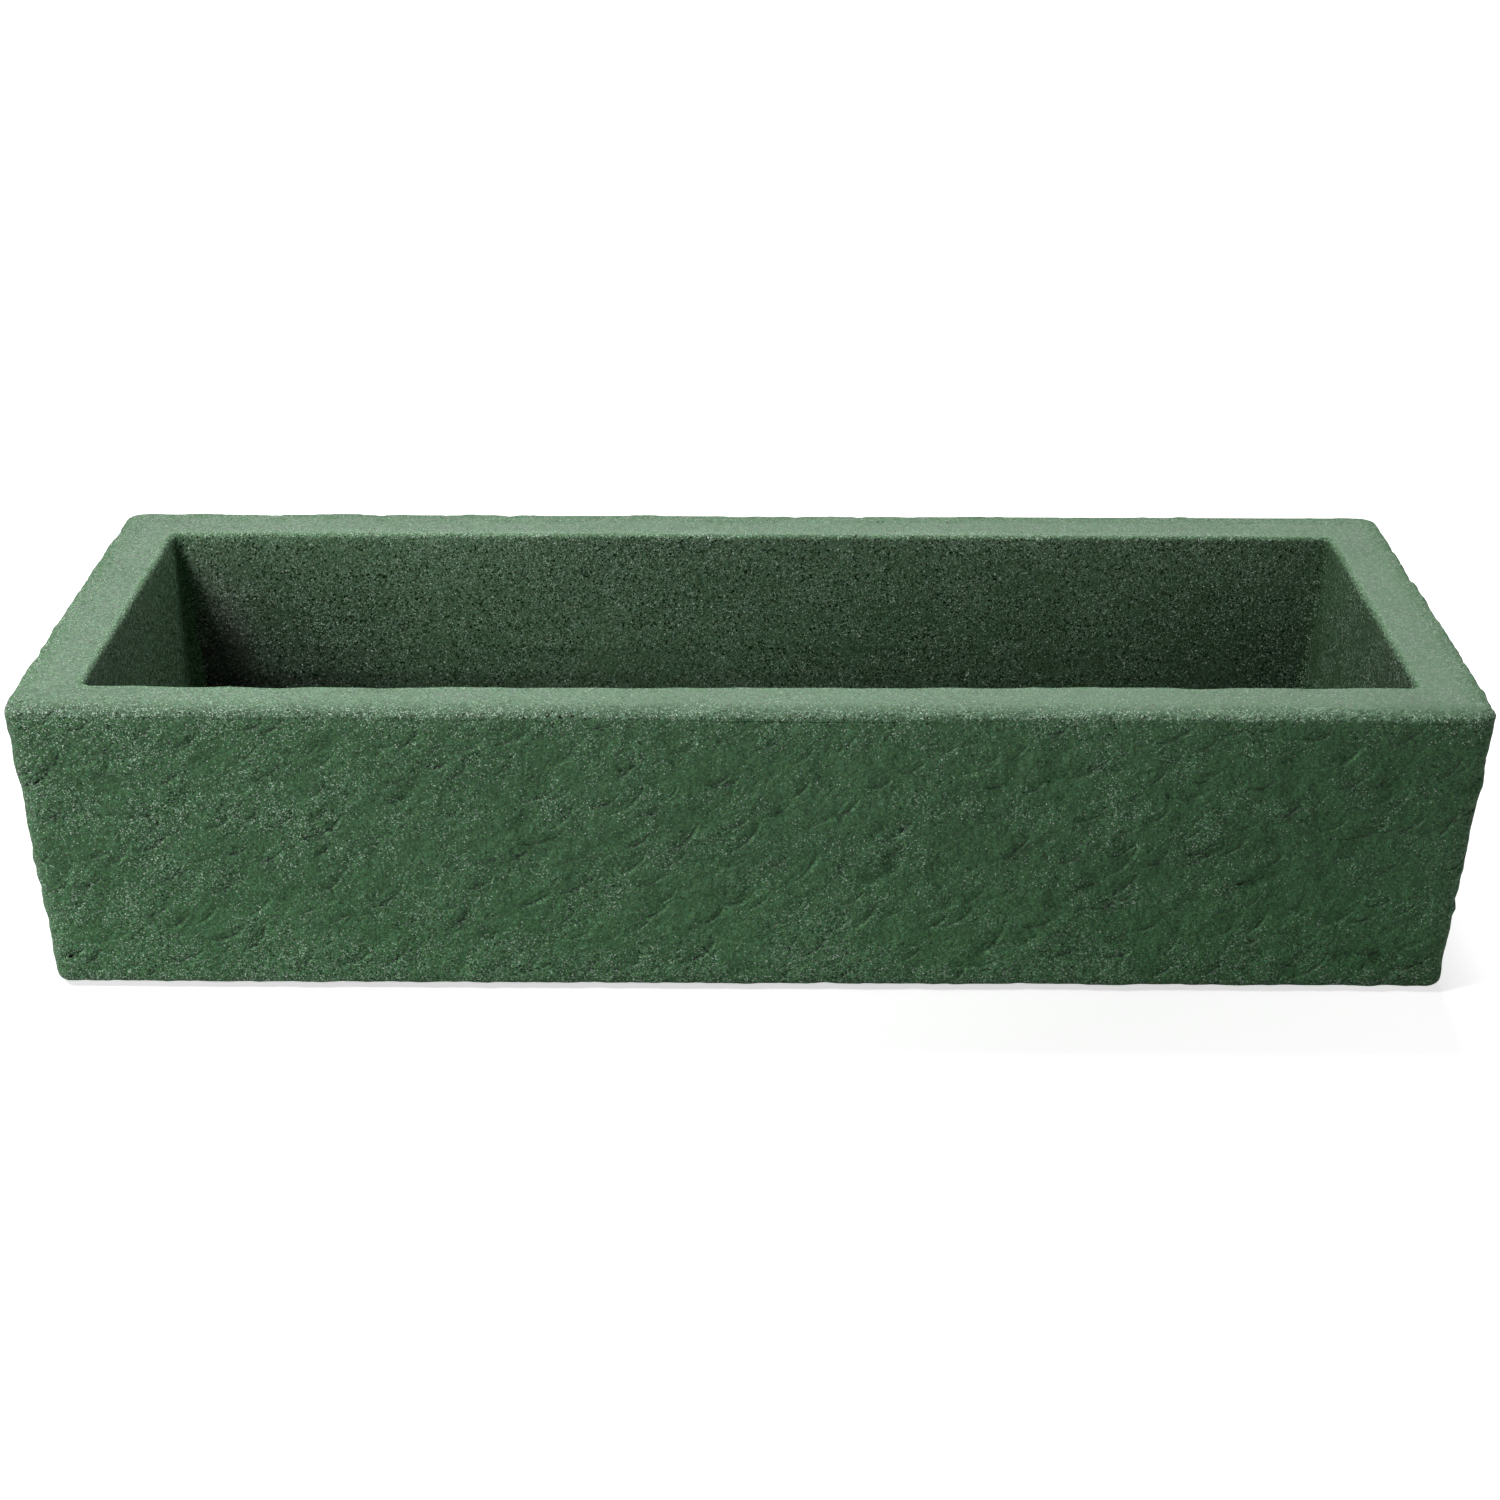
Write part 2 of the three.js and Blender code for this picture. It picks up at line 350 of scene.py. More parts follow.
def ring(inset, height, corner_radius):
    """A level rounded rectangle, anticlockwise from above, inset from the rim's outline."""
    radius = max(corner_radius, LEAST_CORNER_RADIUS)
    half_x = RIM_LENGTH / 2 - inset - radius
    half_y = RIM_WIDTH / 2 - inset - radius
    centres = np.array([(half_x, half_y), (-half_x, half_y), (-half_x, -half_y), (half_x, -half_y)])
    points = []
    for quarter, steps in enumerate((ALONG_X_STEPS, ALONG_Y_STEPS) * 2):
        angles = (quarter + np.arange(CORNER_STEPS) / CORNER_STEPS) * QUARTER_TURN
        arc = np.stack([np.cos(angles), np.sin(angles)], 1) * radius
        points.append(centres[quarter] + arc)
        leaving = (quarter + 1) * QUARTER_TURN
        offset = radius * np.array([math.cos(leaving), math.sin(leaving)])
        shares = np.arange(steps)[:, None] / steps
        points.append(centres[quarter] * (1 - shares) + centres[(quarter + 1) % 4] * shares + offset)
    flat = np.concatenate(points)
    return np.column_stack([flat, np.full(len(flat), height)])


# Both halves of the section are lines of (inset from the rim's outline, height) points.
OUTSIDE = rounded_line(
    (FOOT_INSET + WALL_AT_RIM, UNDERSIDE_Z, 0),
    (FOOT_INSET, UNDERSIDE_Z, FOOT_ROUND),
    (WALL_SLOPE * PARTING_GROOVE_HALF, PARTING_Z - PARTING_GROOVE_HALF, 0),
    (0, PARTING_Z, 0),
)[1:] + oval_corner(RIM_EDGE_WIDTH, RIM_EDGE_HEIGHT)
CAVITY = rounded_line(
    (0, RIM_Z, 0),
    (WALL_AT_RIM, RIM_Z, RIM_INNER_ROUND),
    (WALL_AT_RIM + CAVITY_INSET, FLOOR_Z, FLOOR_FILLET),
    (RIM_WIDTH / 2, FLOOR_Z, 0),
)[1:-1]


def outside_radius(inset, height):
    """The plan radius of the outside's corners at a point of its section."""
    wall_inset = max(0, WALL_SLOPE * (PARTING_Z - height))
    return max(OUTER_CORNER_RADIUS - (inset - wall_inset), LEAST_CORNER_RADIUS)


def cavity_radius(inset, height):
    """The plan radius of the cavity's corners at a point of its section."""
    depth_share = (RIM_Z - height) / (RIM_Z - FLOOR_Z)
    wall_inset = WALL_AT_RIM + CAVITY_INSET * depth_share
    wall_radius = CAVITY_RIM_CORNER_RADIUS + depth_share * (
        CAVITY_FLOOR_CORNER_RADIUS - CAVITY_RIM_CORNER_RADIUS
    )
    return max(wall_radius - (inset - wall_inset), LEAST_CORNER_RADIUS)


def trough_section():
    """The whole section, its corner radii, and how many of its points lie outside the cavity."""
    outside = divided(OUTSIDE, MESH_STEP)
    flat = divided([OUTSIDE[-1], CAVITY[0]], MESH_STEP)[1:-1]
    cavity = divided(CAVITY, CAVITY_MESH_STEP)
    start, end = outside_radius(*OUTSIDE[-1]), cavity_radius(*CAVITY[0])
    across = [(point.x - OUTSIDE[-1].x) / (CAVITY[0].x - OUTSIDE[-1].x) for point in flat]
    radii = [outside_radius(*point) for point in outside]
    radii += [start + (end - start) * share for share in across]
    radii += [cavity_radius(*point) for point in cavity]
    return outside + flat + cavity, radii, len(outside) + len(flat)


SECTION, SECTION_RADII, FULL_RINGS = trough_section()
UP_THE_SECTION = lengths_along(SECTION)
RIM_OUTLINE = ring(0, RIM_Z, OUTER_CORNER_RADIUS)
ROUND_THE_RIM = np.concatenate([[0], np.cumsum(np.linalg.norm(np.diff(RIM_OUTLINE, axis=0), axis=1))])
PERIMETER = ROUND_THE_RIM[-1] + MESH_STEP
BACK_START = ROUND_THE_RIM[CORNER_STEPS]
BACK_END = ROUND_THE_RIM[CORNER_STEPS + ALONG_X_STEPS]


def reach(points, number):
    """How far up the section a point of one of its halves lies."""
    return UP_THE_SECTION[min(range(len(SECTION)), key=lambda i: (SECTION[i] - points[number]).length)]


FOOT_END = reach(OUTSIDE, ARC_STEPS)
PARTING = reach(OUTSIDE, ARC_STEPS + 2)
RIM_START = reach(OUTSIDE, -1)
RIM_END = reach(CAVITY, 0)
CAVITY_START = reach(CAVITY, ARC_STEPS)
FILLET_START = reach(CAVITY, ARC_STEPS + 1)
FLOOR_START = UP_THE_SECTION[-1]

# The relief of the stone's surface. s runs round the trough, v up its section.

SLANT = math.radians(31)  # the mason's strokes rise to the right
SEAM_FADE = 60 * MM
HEWN_DEPTH = 0.6 * MM  # how far the hewn faces lie behind their smooth place on average

# The forms of the relief, each with its size in millimetres and its noise
Form = namedtuple("Form", "height length breadth seed layers")
BENDS_ROUND = Form(12, 48, 48, 11, 1)
BENDS_UP = Form(12, 48, 48, 12, 1)
SWELLS = Form(1.2, 75, 55, 21, 3)
LUMPS = Form(1.6, 22, 17, 25, 3)
STROKES = Form(0.9, 26, 13, 31, 3)
FACETS = Form(0.9, 20, 12, 41, 1)
GRIT = Form(0.7, 8, 7, 51, 1)
EDGE_BITES = Form(2.6, 26, 60, 61, 2)
CORNER_KNOCKS = Form(1, 40, 17, 71, 2)
WAVES = Form(0.45, 60, 60, 81, 2)
RIPPLES = Form(0.1, 11, 11, 91, 1)
INNER_EDGE_WANDER = Form(1.3, 44, 90, 101, 3)
PARTING_LINE = Form(0.7, 120, 1000, 111, 1)
UNBITTEN = 0.12
PARTING_LINE_MEAN = 0.35
PARTING_LINE_SWING = 1.5
FULLER_EDGE = 3 * MM

# Where each kind of relief is strong, as (place up the section, strength) stops
HEWN_STRENGTHS = (
    (0, 0.4),
    (FOOT_END, 0.6),
    (FOOT_END + 50 * MM, 1.1),
    (PARTING - 30 * MM, 1.1),
    (PARTING, 0.8),
    (RIM_START, 0.35),
    (RIM_START + 8 * MM, 0),
)
SCOOP_STRENGTHS = ((0, 0), (FOOT_END, 1), (PARTING - 6 * MM, 1), (PARTING, 0))
GENTLE_STRENGTHS = ((PARTING, 0), (RIM_START + 6 * MM, 1), (FILLET_START, 1), (FLOOR_START, 0))
SKEW_STRENGTHS = ((RIM_START, 0), (RIM_END, 1), (FILLET_START, 0))
CORNER_REACH = 30 * MM
SMOOTHER_CORNER = 0.5
EDGE_BITE_REACH = 12 * MM
INNER_EDGE_REACH = 14 * MM
FULLER_STRENGTHS = ((3 * MM - RIM_WIDTH / 2, 0), (40 * MM - RIM_WIDTH / 2, 1))  # (y, strength) stops

# How far the cavity's long sides lie from their place, backwards
FRONT_SKEW = ((-412 * MM, -1 * MM), (-355 * MM, -4.6 * MM), (330 * MM, 0.8 * MM))  # (x, shift) stops
BACK_SKEW = -2.4 * MM

# Scoops. A kind is its depth, and its half length from least to most in millimetres, as widths are.
DEEP_SCOOP = (3.2 * MM, (11, 20))
SHALLOW_SCOOP = (1.3 * MM, (6, 13))
GENTLE_WIDTHS = (7, 12)
STEEP_WIDTHS = (3.4, 4.6)
SCOOP_COUNT = 420
DEEP_SCOOP_COUNT = 95
SCOOP_SEED = 7
SCOOP_CLEAR_OF_RIM = 8 * MM
SCOOP_SLANT_SPREAD = math.radians(14)
SCOOP_STRENGTH_SHARES = (0.4, 1)
UPSIDE_DOWN_SHARE = 0.25
SCOOP_BENDS = (0.006, 0.022)  # millimetres for each square millimetre
SCOOP_POWER = 1.5


def strength_at(place, stops):
    """A strength that runs straight from each stop to the next."""
    return np.interp(place, *zip(*stops))


def noise_of(form, s, v):
    """The noise that shapes a form."""
    return layered_noise(s / (form.length * MM), v / (form.breadth * MM), form.seed, form.layers)


def raised(form, s, v):
    """How high a form stands."""
    return form.height * MM * noise_of(form, s, v)


def around(field, s, v):
    """A field over (s, v), faded into its own start over the last stretch of the way round."""
    fade = np.clip((s - PERIMETER + SEAM_FADE) / SEAM_FADE, 0, 1)
    return field(s, v) * (1 - fade) + field(s - PERIMETER, v) * fade


def slanted(s, v):
    """Coordinates along and across the strokes."""
    return s * math.cos(SLANT) + v * math.sin(SLANT), v * math.cos(SLANT) - s * math.sin(SLANT)


def hewn(s, v):
    """The rough-hewn face: slow swells, lumps and slanting strokes, some of them sharp-edged."""
    bent_s = s + raised(BENDS_ROUND, s, v)
    bent_v = v + raised(BENDS_UP, s, v)
    along, across = slanted(bent_s, bent_v)
    coarse = raised(SWELLS, s, v) + raised(LUMPS, bent_s, bent_v) + raised(STROKES, along, across)
    return coarse + np.abs(raised(FACETS, along, across)) + raised(GRIT, bent_s, bent_v)


def scoops(s, v):
    """Gouges across the face, each a bent stroke, most of them shallow above and steep below."""
    rng = np.random.default_rng(SCOOP_SEED)
    depth = np.zeros(np.broadcast(s, v).shape)
    for number in range(SCOOP_COUNT):
        depth_of_kind, half_lengths = DEEP_SCOOP if number < DEEP_SCOOP_COUNT else SHALLOW_SCOOP
        place_s = rng.uniform(0, PERIMETER)
        place_v = rng.uniform(FOOT_END, PARTING - SCOOP_CLEAR_OF_RIM)
        angle = rng.normal(SLANT, SCOOP_SLANT_SPREAD)
        deepest = depth_of_kind * rng.uniform(*SCOOP_STRENGTH_SHARES)
        half_length = rng.uniform(*half_lengths) * MM
        above, below = rng.uniform(*GENTLE_WIDTHS) * MM, rng.uniform(*STEEP_WIDTHS) * MM
        if rng.uniform() < UPSIDE_DOWN_SHARE:
            above, below = below, above
        bend = rng.uniform(*SCOOP_BENDS) / MM
        step_s = (s - place_s + PERIMETER / 2) % PERIMETER - PERIMETER / 2
        step_v = v - place_v
        along = step_s * math.cos(angle) + step_v * math.sin(angle)
        across = step_v * math.cos(angle) - step_s * math.sin(angle) - bend * along**2
        width = np.where(across > 0, above, below)
        taper = np.clip(1 - (along / half_length) ** 2, 0, 1) ** SCOOP_POWER
        depth += deepest * taper * np.clip(1 - np.abs(across) / width, 0, 1) ** SCOOP_POWER
    return depth


def edge_wear(s, v):
    """Worn places along the rim's outer edge, each a shallow bite."""
    return EDGE_BITES.height * MM * np.clip(noise_of(EDGE_BITES, s, v) - UNBITTEN, 0, None)


def fuller_edge(v):
    """The rim's outer edge is less rounded at the back and the ends than at the front."""
    share = np.clip((v - PARTING) / (RIM_START - PARTING), 0, 1)
    return FULLER_EDGE * np.sin(share * TURN / 2)


def gentle(s, v):
    """The smooth faces: the rim and the cavity."""
    return raised(WAVES, s, v) + raised(RIPPLES, s, v)


def parting_line(s, v):
    """A fine groove where the mould's halves met, deeper here and there."""
    depth_share = PARTING_LINE_MEAN + PARTING_LINE_SWING * noise_of(PARTING_LINE, s, v)
    return PARTING_LINE.height * MM * np.clip(depth_share, 0, 1)


def near(v, place, width):
    """1 at a place up the section, 0 from a width away."""
    return np.clip(1 - np.abs(v - place) / width, 0, 1)


def near_corner():
    """1 at the rim's upright corners, 0 away from them, for each point round the rim."""
    to_sides = np.abs(np.abs(RIM_OUTLINE[None, :, :2]) - [RIM_LENGTH / 2, RIM_WIDTH / 2])
    return np.clip(1 - to_sides.max(axis=2) / CORNER_REACH, 0, 1)


def relief():
    """How far each point of the rings stands out from its smooth place."""
    s = ROUND_THE_RIM[None, :]
    v = UP_THE_SECTION[:, None]
    scoop_strength = strength_at(v, SCOOP_STRENGTHS)
    corner = near_corner()
    hewn_strength = strength_at(v, HEWN_STRENGTHS) * (1 - SMOOTHER_CORNER * corner)
    height = hewn_strength * (around(hewn, s, v) - HEWN_DEPTH)
    height -= scoop_strength * scoops(s, v)
    height -= near(v, (PARTING + RIM_START) / 2, EDGE_BITE_REACH) * around(edge_wear, s, v)
    height += corner * scoop_strength * around(partial(raised, CORNER_KNOCKS), s, v)
    height += fuller_edge(v) * strength_at(RIM_OUTLINE[None, :, 1], FULLER_STRENGTHS)
    height += strength_at(v, GENTLE_STRENGTHS) * around(gentle, s, v)
    wander = around(partial(raised, INNER_EDGE_WANDER), s, v)
    height += near(v, (RIM_END + CAVITY_START) / 2, INNER_EDGE_REACH) * wander
    height -= near(v, PARTING, PARTING_GROOVE_HALF) * around(parting_line, s, v)
    return height


def cavity_skew(points):
    """The cavity isn't quite square: how far its long sides lie from their place, along y."""
    x, y = points[:, :, 0], points[:, :, 1]
    strength = strength_at(UP_THE_SECTION[:, None], SKEW_STRENGTHS)
    half = RIM_WIDTH / 2 - WALL_AT_RIM
    back_share = np.clip(0.5 + y / (2 * half), 0, 1)
    return strength * (strength_at(x, FRONT_SKEW) * (1 - back_share) + BACK_SKEW * back_share)


def stone_rings():
    """The trough's rings with their relief, kept within the box that the frame gives it."""
    smooth = np.stack([ring(*point, radius) for point, radius in zip(SECTION, SECTION_RADII)])
    onward = np.roll(smooth, -1, axis=1) - np.roll(smooth, 1, axis=1)
    upward = np.gradient(smooth, axis=0)
    normal = np.cross(onward, upward)
    normal /= np.linalg.norm(normal, axis=2, keepdims=True)
    rough = smooth + normal * relief()[:, :, None]
    rough[:, :, 1] += cavity_skew(smooth)
    return np.clip(rough, TROUGH_LOW, TROUGH_HIGH)


# The trough


def add_walls(skin):
    """Adds the rings, from the underside over the rim to the cavity's floor. Gives the first and last."""
    rings = stone_rings()
    places = np.stack(np.broadcast_arrays(ROUND_THE_RIM, UP_THE_SECTION[:, None]), axis=2)
    outer = list(map(skin.add, rings[:FULL_RINGS], places))
    inner = list(map(skin.add, rings[FULL_RINGS:, ::2], places[FULL_RINGS:, ::2]))
    skin.join_all(outer)
    skin.join_half(outer[-1], inner[0])
    skin.join_all(inner)
    return outer[0], inner[-1]


def tunnel(skin, first_loop, last_loop, centre, rings_down):
    """Lines a round hole with (radius, height) rings. Without a last loop, it is closed at its end."""
    loop = first_loop
    for radius, height in rings_down:
        following = skin.add(circle(centre, radius, height))
        skin.join(loop, following)
        loop = following
    if last_loop is None:
        skin.cap(loop, (*centre, rings_down[-1][1]))
    else:
        skin.join(loop, last_loop)


def trough_body():
    """The whole casting as one closed mesh."""
    skin = Skin()
    underside_border, floor_border = add_walls(skin)
    bevel = STONE_EDGE_BEVEL
    flange_hole = box_radius("drain_sleeve_centre") + CAST_GAP
    sleeve_hole = flange_hole - SLEEVE_FLANGE_WIDTH
    seat = FLOOR_Z - SLEEVE_FLANGE_THICKNESS - CAST_GAP
    pad_hole = box_radius("foot_pad_front_left") + PAD_SIDE_CLEARANCE
    recess_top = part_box("foot_pad_front_left")[1][2] + PAD_GLUE_GAP
    drains = [middle(f"drain_sleeve_{side}") for side in DRAIN_SIDES]
    pads = [middle(f"foot_pad_{corner}") for corner in PAD_CORNERS]

    holes_above = [(*drain, flange_hole + bevel) for drain in drains]
    holes_below = [(*drain, sleeve_hole + bevel) for drain in drains]
    holes_below += [(*pad, pad_hole + bevel) for pad in pads]
    on_floor = skin.level(floor_border, holes_above, FLOOR_Z)
    below = skin.level(underside_border, holes_below, UNDERSIDE_Z)
    drain_rings = [
        (flange_hole, FLOOR_Z - bevel),
        (flange_hole, seat),
        (sleeve_hole, seat),
        (sleeve_hole, UNDERSIDE_Z + bevel),
    ]
    pad_rings = [(pad_hole, UNDERSIDE_Z + bevel), (pad_hole, recess_top)]
    for centre, top_loop, low_loop in zip(drains, on_floor, below):
        tunnel(skin, top_loop, low_loop, centre, drain_rings)
    for centre, low_loop in zip(pads, below[len(drains) :]):
        tunnel(skin, low_loop, None, centre, pad_rings)
    return skin.build("stone_trough", STONE_SHARP_ANGLE, PERIMETER)


# The small round pieces


def turned(name, node, *corners):
    """A round piece turned from (radius, height, rounding) corners, from axis to axis or closed."""
    outline = rounded_line(*corners)
    centre = middle(node)
    hollow = outline[0].x > 0
    skin = Skin()
    loops = [skin.add(circle(centre, *point)) for point in (outline[:-1] if hollow else outline[1:-1])]
    skin.join_all(loops)
    if hollow:
        skin.join(loops[-1], loops[0])
    else:
        skin.cap(loops[0], (*centre, outline[0].y))
        skin.cap(loops[-1], (*centre, outline[-1].y))
    return skin.build(name, TURNED_SHARP_ANGLE)


def drain_sleeve(side):
    """A tube through the floor, with a flange that is flush with the floor."""
    node = f"drain_sleeve_{side}"
    flange = box_radius(node)
    outside = flange - SLEEVE_FLANGE_WIDTH
    bore = outside - SLEEVE_WALL
    return turned(
        f"sleeve_{side}",
        node,
        (bore, UNDERSIDE_Z, 0),
        (outside, UNDERSIDE_Z, SMALL_ROUND),
        (outside, FLOOR_Z - SLEEVE_FLANGE_THICKNESS, 0),
        (flange, FLOOR_Z - SLEEVE_FLANGE_THICKNESS, SMALL_ROUND),
        (flange, FLOOR_Z, SMALL_ROUND),
        (bore, FLOOR_Z, 2 * SMALL_ROUND),
        (bore, UNDERSIDE_Z, 0),
    )


def drain_plug(side):
    """A rubber stopper: a tapered stem, a flange and a knob to pull it by."""
    node = f"drain_plug_{side}"
    (_, _, foot), (_, _, top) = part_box(node)
    bore = box_radius(f"drain_sleeve_{side}") - SLEEVE_FLANGE_WIDTH - SLEEVE_WALL
    stem = bore - PLUG_CLEARANCE
    seat = foot + PLUG_STEM_LENGTH
    neck_foot = seat + PLUG_FLANGE_THICKNESS
    neck_top = neck_foot + PLUG_NECK_HEIGHT
    return turned(
        f"plug_{side}",
        node,
        (0, foot, 0),
        (stem - PLUG_TAPER, foot, WIDE_ROUND),
        (stem, seat, 0),
        (box_radius(node), seat, SMALL_ROUND),
        (box_radius(node), neck_foot, 2 * SMALL_ROUND),
        (PLUG_NECK_RADIUS, neck_foot, WIDE_ROUND),
        (PLUG_NECK_RADIUS, neck_top, WIDE_ROUND),
        (PLUG_KNOB_RADIUS, neck_top, WIDE_ROUND),
        (PLUG_KNOB_RADIUS, top, WIDE_ROUND),
        (0, top, 0),
    )


def foot_pad(corner):
    """A rubber pad with grooves in its sole."""
    node = f"foot_pad_{corner}"
    (_, _, sole), (_, _, top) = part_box(node)
    grooves = []
    for radius in PAD_GROOVE_RADII:
        grooves += [
            (radius - PAD_GROOVE_DEPTH, sole, 0),
            (radius, sole + PAD_GROOVE_DEPTH, SMALL_ROUND),
            (radius + PAD_GROOVE_DEPTH, sole, 0),
        ]
    return turned(
        f"pad_{corner}",
        node,
        (0, sole, 0),
        *grooves,
        (box_radius(node), sole, WIDE_ROUND),
        (box_radius(node), top, SMALL_ROUND),
        (0, top, 0),
    )


# Materials

MIX_FACTOR, MIX_A, MIX_B, MIX_RESULT = 0, 6, 7, 2  # the colour sockets of a Mix node
WHITE = (1.0, 1.0, 1.0)


def grey(level):
    """A colour without a hue."""
    return (level,) * 3


class Graph:
    """The shader nodes of a material or a world."""

    def __init__(self, owner):
        owner.use_nodes = True
        self.tree = owner.node_tree

    def feed(self, socket, value):
        """Links a socket to another, or sets its value."""
        if isinstance(value, bpy.types.NodeSocket):
            self.tree.links.new(value, socket)
        else:
            socket.default_value = (*value, 1.0) if socket.type == "RGBA" else value

    def node(self, kind, inputs=None, **settings):
        """A new node with its inputs fed."""
        made = self.tree.nodes.new(f"ShaderNode{kind}")
        for name, value in settings.items():
            setattr(made, name, value)
        for name, value in (inputs or {}).items():
            self.feed(made.inputs[name], value)
        return made

    def calculate(self, operation, a, b=0.0):
        return self.node("Math", {0: a, 1: b}, operation=operation).outputs[0]

    def product(self, *values):
        return reduce(partial(self.calculate, "MULTIPLY"), values)

    def greatest(self, *values):
        return reduce(partial(self.calculate, "MAXIMUM"), values)

    def ranged(self, value, start, end, to_start=0.0, to_end=1.0, **settings):
        """A value that runs from one number to another, and stays level beyond both."""
        inputs = {"Value": value, "From Min": start, "From Max": end, "To Min": to_start, "To Max": to_end}
        return self.node("MapRange", inputs, **settings).outputs["Result"]

    def band(self, value, start, full, still_full, end):
        """A value that rises from 0 to 1, stays there and falls to 0."""
        return self.product(self.ranged(value, start, full), self.ranged(value, still_full, end, 1.0, 0.0))

    def vector(self, operation, a, b=(0.0, 0.0, 0.0), output="Vector"):
        return self.node("VectorMath", {0: a, 1: b}, operation=operation).outputs[output]

    def scaled(self, vector, scale):
        return self.node("VectorMath", {0: vector, "Scale": scale}, operation="SCALE").outputs["Vector"]

    def rotated(self, vector, angle):
        """A vector turned about Z."""
        inputs = {"Vector": vector, "Angle": angle}
        return self.node("VectorRotate", inputs, rotation_type="Z_AXIS").outputs["Vector"]

    def axes(self, vector):
        """The X, Y and Z of a vector."""
        return self.node("SeparateXYZ", {"Vector": vector}).outputs

    def channels(self, colour):
        """The Red, Green and Blue of a colour."""
        return self.node("SeparateColor", {"Color": colour}).outputs

    def mixed(self, factor, a, b, blend="MIX"):
        inputs = {MIX_FACTOR: factor, MIX_A: a, MIX_B: b}
        return self.node("Mix", inputs, data_type="RGBA", blend_type=blend).outputs[MIX_RESULT]

    def multiplied(self, colour, tint):
        return self.mixed(1.0, colour, tint, "MULTIPLY")

    def tinted(self, colour, zone, tint):
        """A colour times a tint, as far as the zone goes."""
        return self.multiplied(colour, self.mixed(zone, WHITE, tint))

    def ramp(self, value, stops):
        """The colour at a value, from (value, colour) stops."""
        made = self.node("ValToRGB", {"Fac": value})
        elements = made.color_ramp.elements
        while len(elements) < len(stops):
            elements.new(1.0)
        for element, (position, colour) in zip(elements, stops):
            element.position = position
            element.color = (*colour, 1.0)
        return made.outputs["Color"]

    def grey_ramp(self, value, stops):
        """The grey at a value, from (value, level) stops."""
        return self.ramp(value, [(position, grey(level)) for position, level in stops])


class Surface(Graph):
    """The nodes of one material."""

    def __init__(self, name):
        self.material = bpy.data.materials.new(name)
        super().__init__(self.material)
        self.shader = self.tree.nodes["Principled BSDF"]
        self.place = self.node("TexCoord").outputs["Object"]
        self.skin = self.node("UVMap", uv_map=SKIN_PLACES).outputs["UV"]

    def shade(self, **inputs):
        """Sets the shader's own sockets, named with underscores for spaces."""
        for name, value in inputs.items():
            self.feed(self.shader.inputs[name.replace("_", " ")], value)

    def noise(self, size, detail=2.0, place=None):
        inputs = {"Vector": place or self.place, "Scale": 1 / size, "Detail": detail}
        return self.node("TexNoise", inputs).outputs["Fac"]

    def cells(self, size, place=None, dimensions="3D"):
        """A pattern of cells, each with a colour of its own."""
        inputs = {"Vector": place or self.place, "Scale": 1 / size}
        return self.node("TexVoronoi", inputs, voronoi_dimensions=dimensions).outputs

    def bump(self, height, distance, normal=None, strength=1.0):
        inputs = {"Height": height, "Distance": distance, "Strength": strength}
        if normal is not None:
            inputs["Normal"] = normal
        return self.node("Bump", inputs).outputs["Normal"]


# Zones of the stone. A band is where it starts, is full, is still full and ends, up the section.
# A range is a start, an end and the values there. A noise is its size and detail.
HEWN_BAND = (FOOT_END, FOOT_END + 4 * MM, PARTING - 6 * MM, PARTING)
RIM_EDGE_BAND = (PARTING, PARTING + 3 * MM, PARTING + 7 * MM, RIM_START)
RIM_TOP_BAND = (PARTING + 6 * MM, RIM_START + 2 * MM, RIM_END - 2 * MM, RIM_END + 2 * MM)
RIM_LIP_BAND = (RIM_END - 3 * MM, RIM_END, RIM_END + 2 * MM, CAVITY_START)
# Painted glints gather high on the back wall.
BACK_WALL_GLINTS = (FILLET_START - 30 * MM, RIM_END, 0.1, 1.0)
FRONT_EDGE_YS = (-155 * MM, -163 * MM)
END_XS = (-410 * MM, 410 * MM)


class Stone(Surface):
    """The trough's material, with how far each point belongs to each zone, from 0 to 1."""

    def __init__(self, name):
        super().__init__(name)
        on_skin, place = self.axes(self.skin), self.axes(self.place)
        self.x, self.y, self.up = place["X"], place["Y"], on_skin["Y"]
        self.along = self.ranged(self.x, *END_XS)
        self.hewn = self.band(self.up, *HEWN_BAND)
        at_front = self.ranged(self.y, *FRONT_EDGE_YS)
        self.front_edge = self.product(self.band(self.up, *RIM_EDGE_BAND), at_front)
        self.on_top = self.band(self.up, *RIM_TOP_BAND)
        self.rim_lip = self.band(self.up, *RIM_LIP_BAND)
        self.level = self.calculate("LESS_THAN", self.up, -PLAN_SHIFT / 2)
        self.inside = self.greatest(self.ranged(self.up, RIM_END, CAVITY_START), self.level)
        past_start = self.calculate("GREATER_THAN", on_skin["X"], BACK_START)
        before_end = self.calculate("LESS_THAN", on_skin["X"], BACK_END)
        self.back_wall = self.product(past_start, before_end)
        self.glinting_back_wall = self.product(self.back_wall, self.ranged(self.up, *BACK_WALL_GLINTS))


# Where the grains glint and pale specks gather. The specks are partly quartz grains and partly painted
# glints.
FOOT_GLINTS = (FOOT_END, FOOT_END + 36 * MM, 1.7, 0.0)
PARTING_GLINTS = (PARTING - 22 * MM, PARTING + 4 * MM, 0.0, 0.9)
LEFT_END_GLINTS = (-440 * MM, -150 * MM, 0.8, 0.0)
RIGHT_END_FEWER_GLINTS = (50 * MM, 400 * MM, 0.0, 0.5)
END_GLINTS_INSIDE = (0.0, 1.0, 1.0, 0.3)
PATCH_NOISE = (30 * MM, 4.0)
GLINT_BIAS_IN_PATCHES = 0.16
PATCH_RANGE = (0.42, 0.74)
SPECKS_ON_TOP = (0.0, 1.0, 1.0, 0.2)
GLINT_NOISE = (55 * MM, 3.0)
GLINT_RANGE = (0.35, 0.65, 0.6, 1.7)
# Pale specks painted as glints along the rim's inner edge.
RIM_LIP_GLINTS = 0.8
STREAK_NOISE = (45 * MM, 3.0)
STREAK_STRETCH = (0.35, 1.0, 1.0)
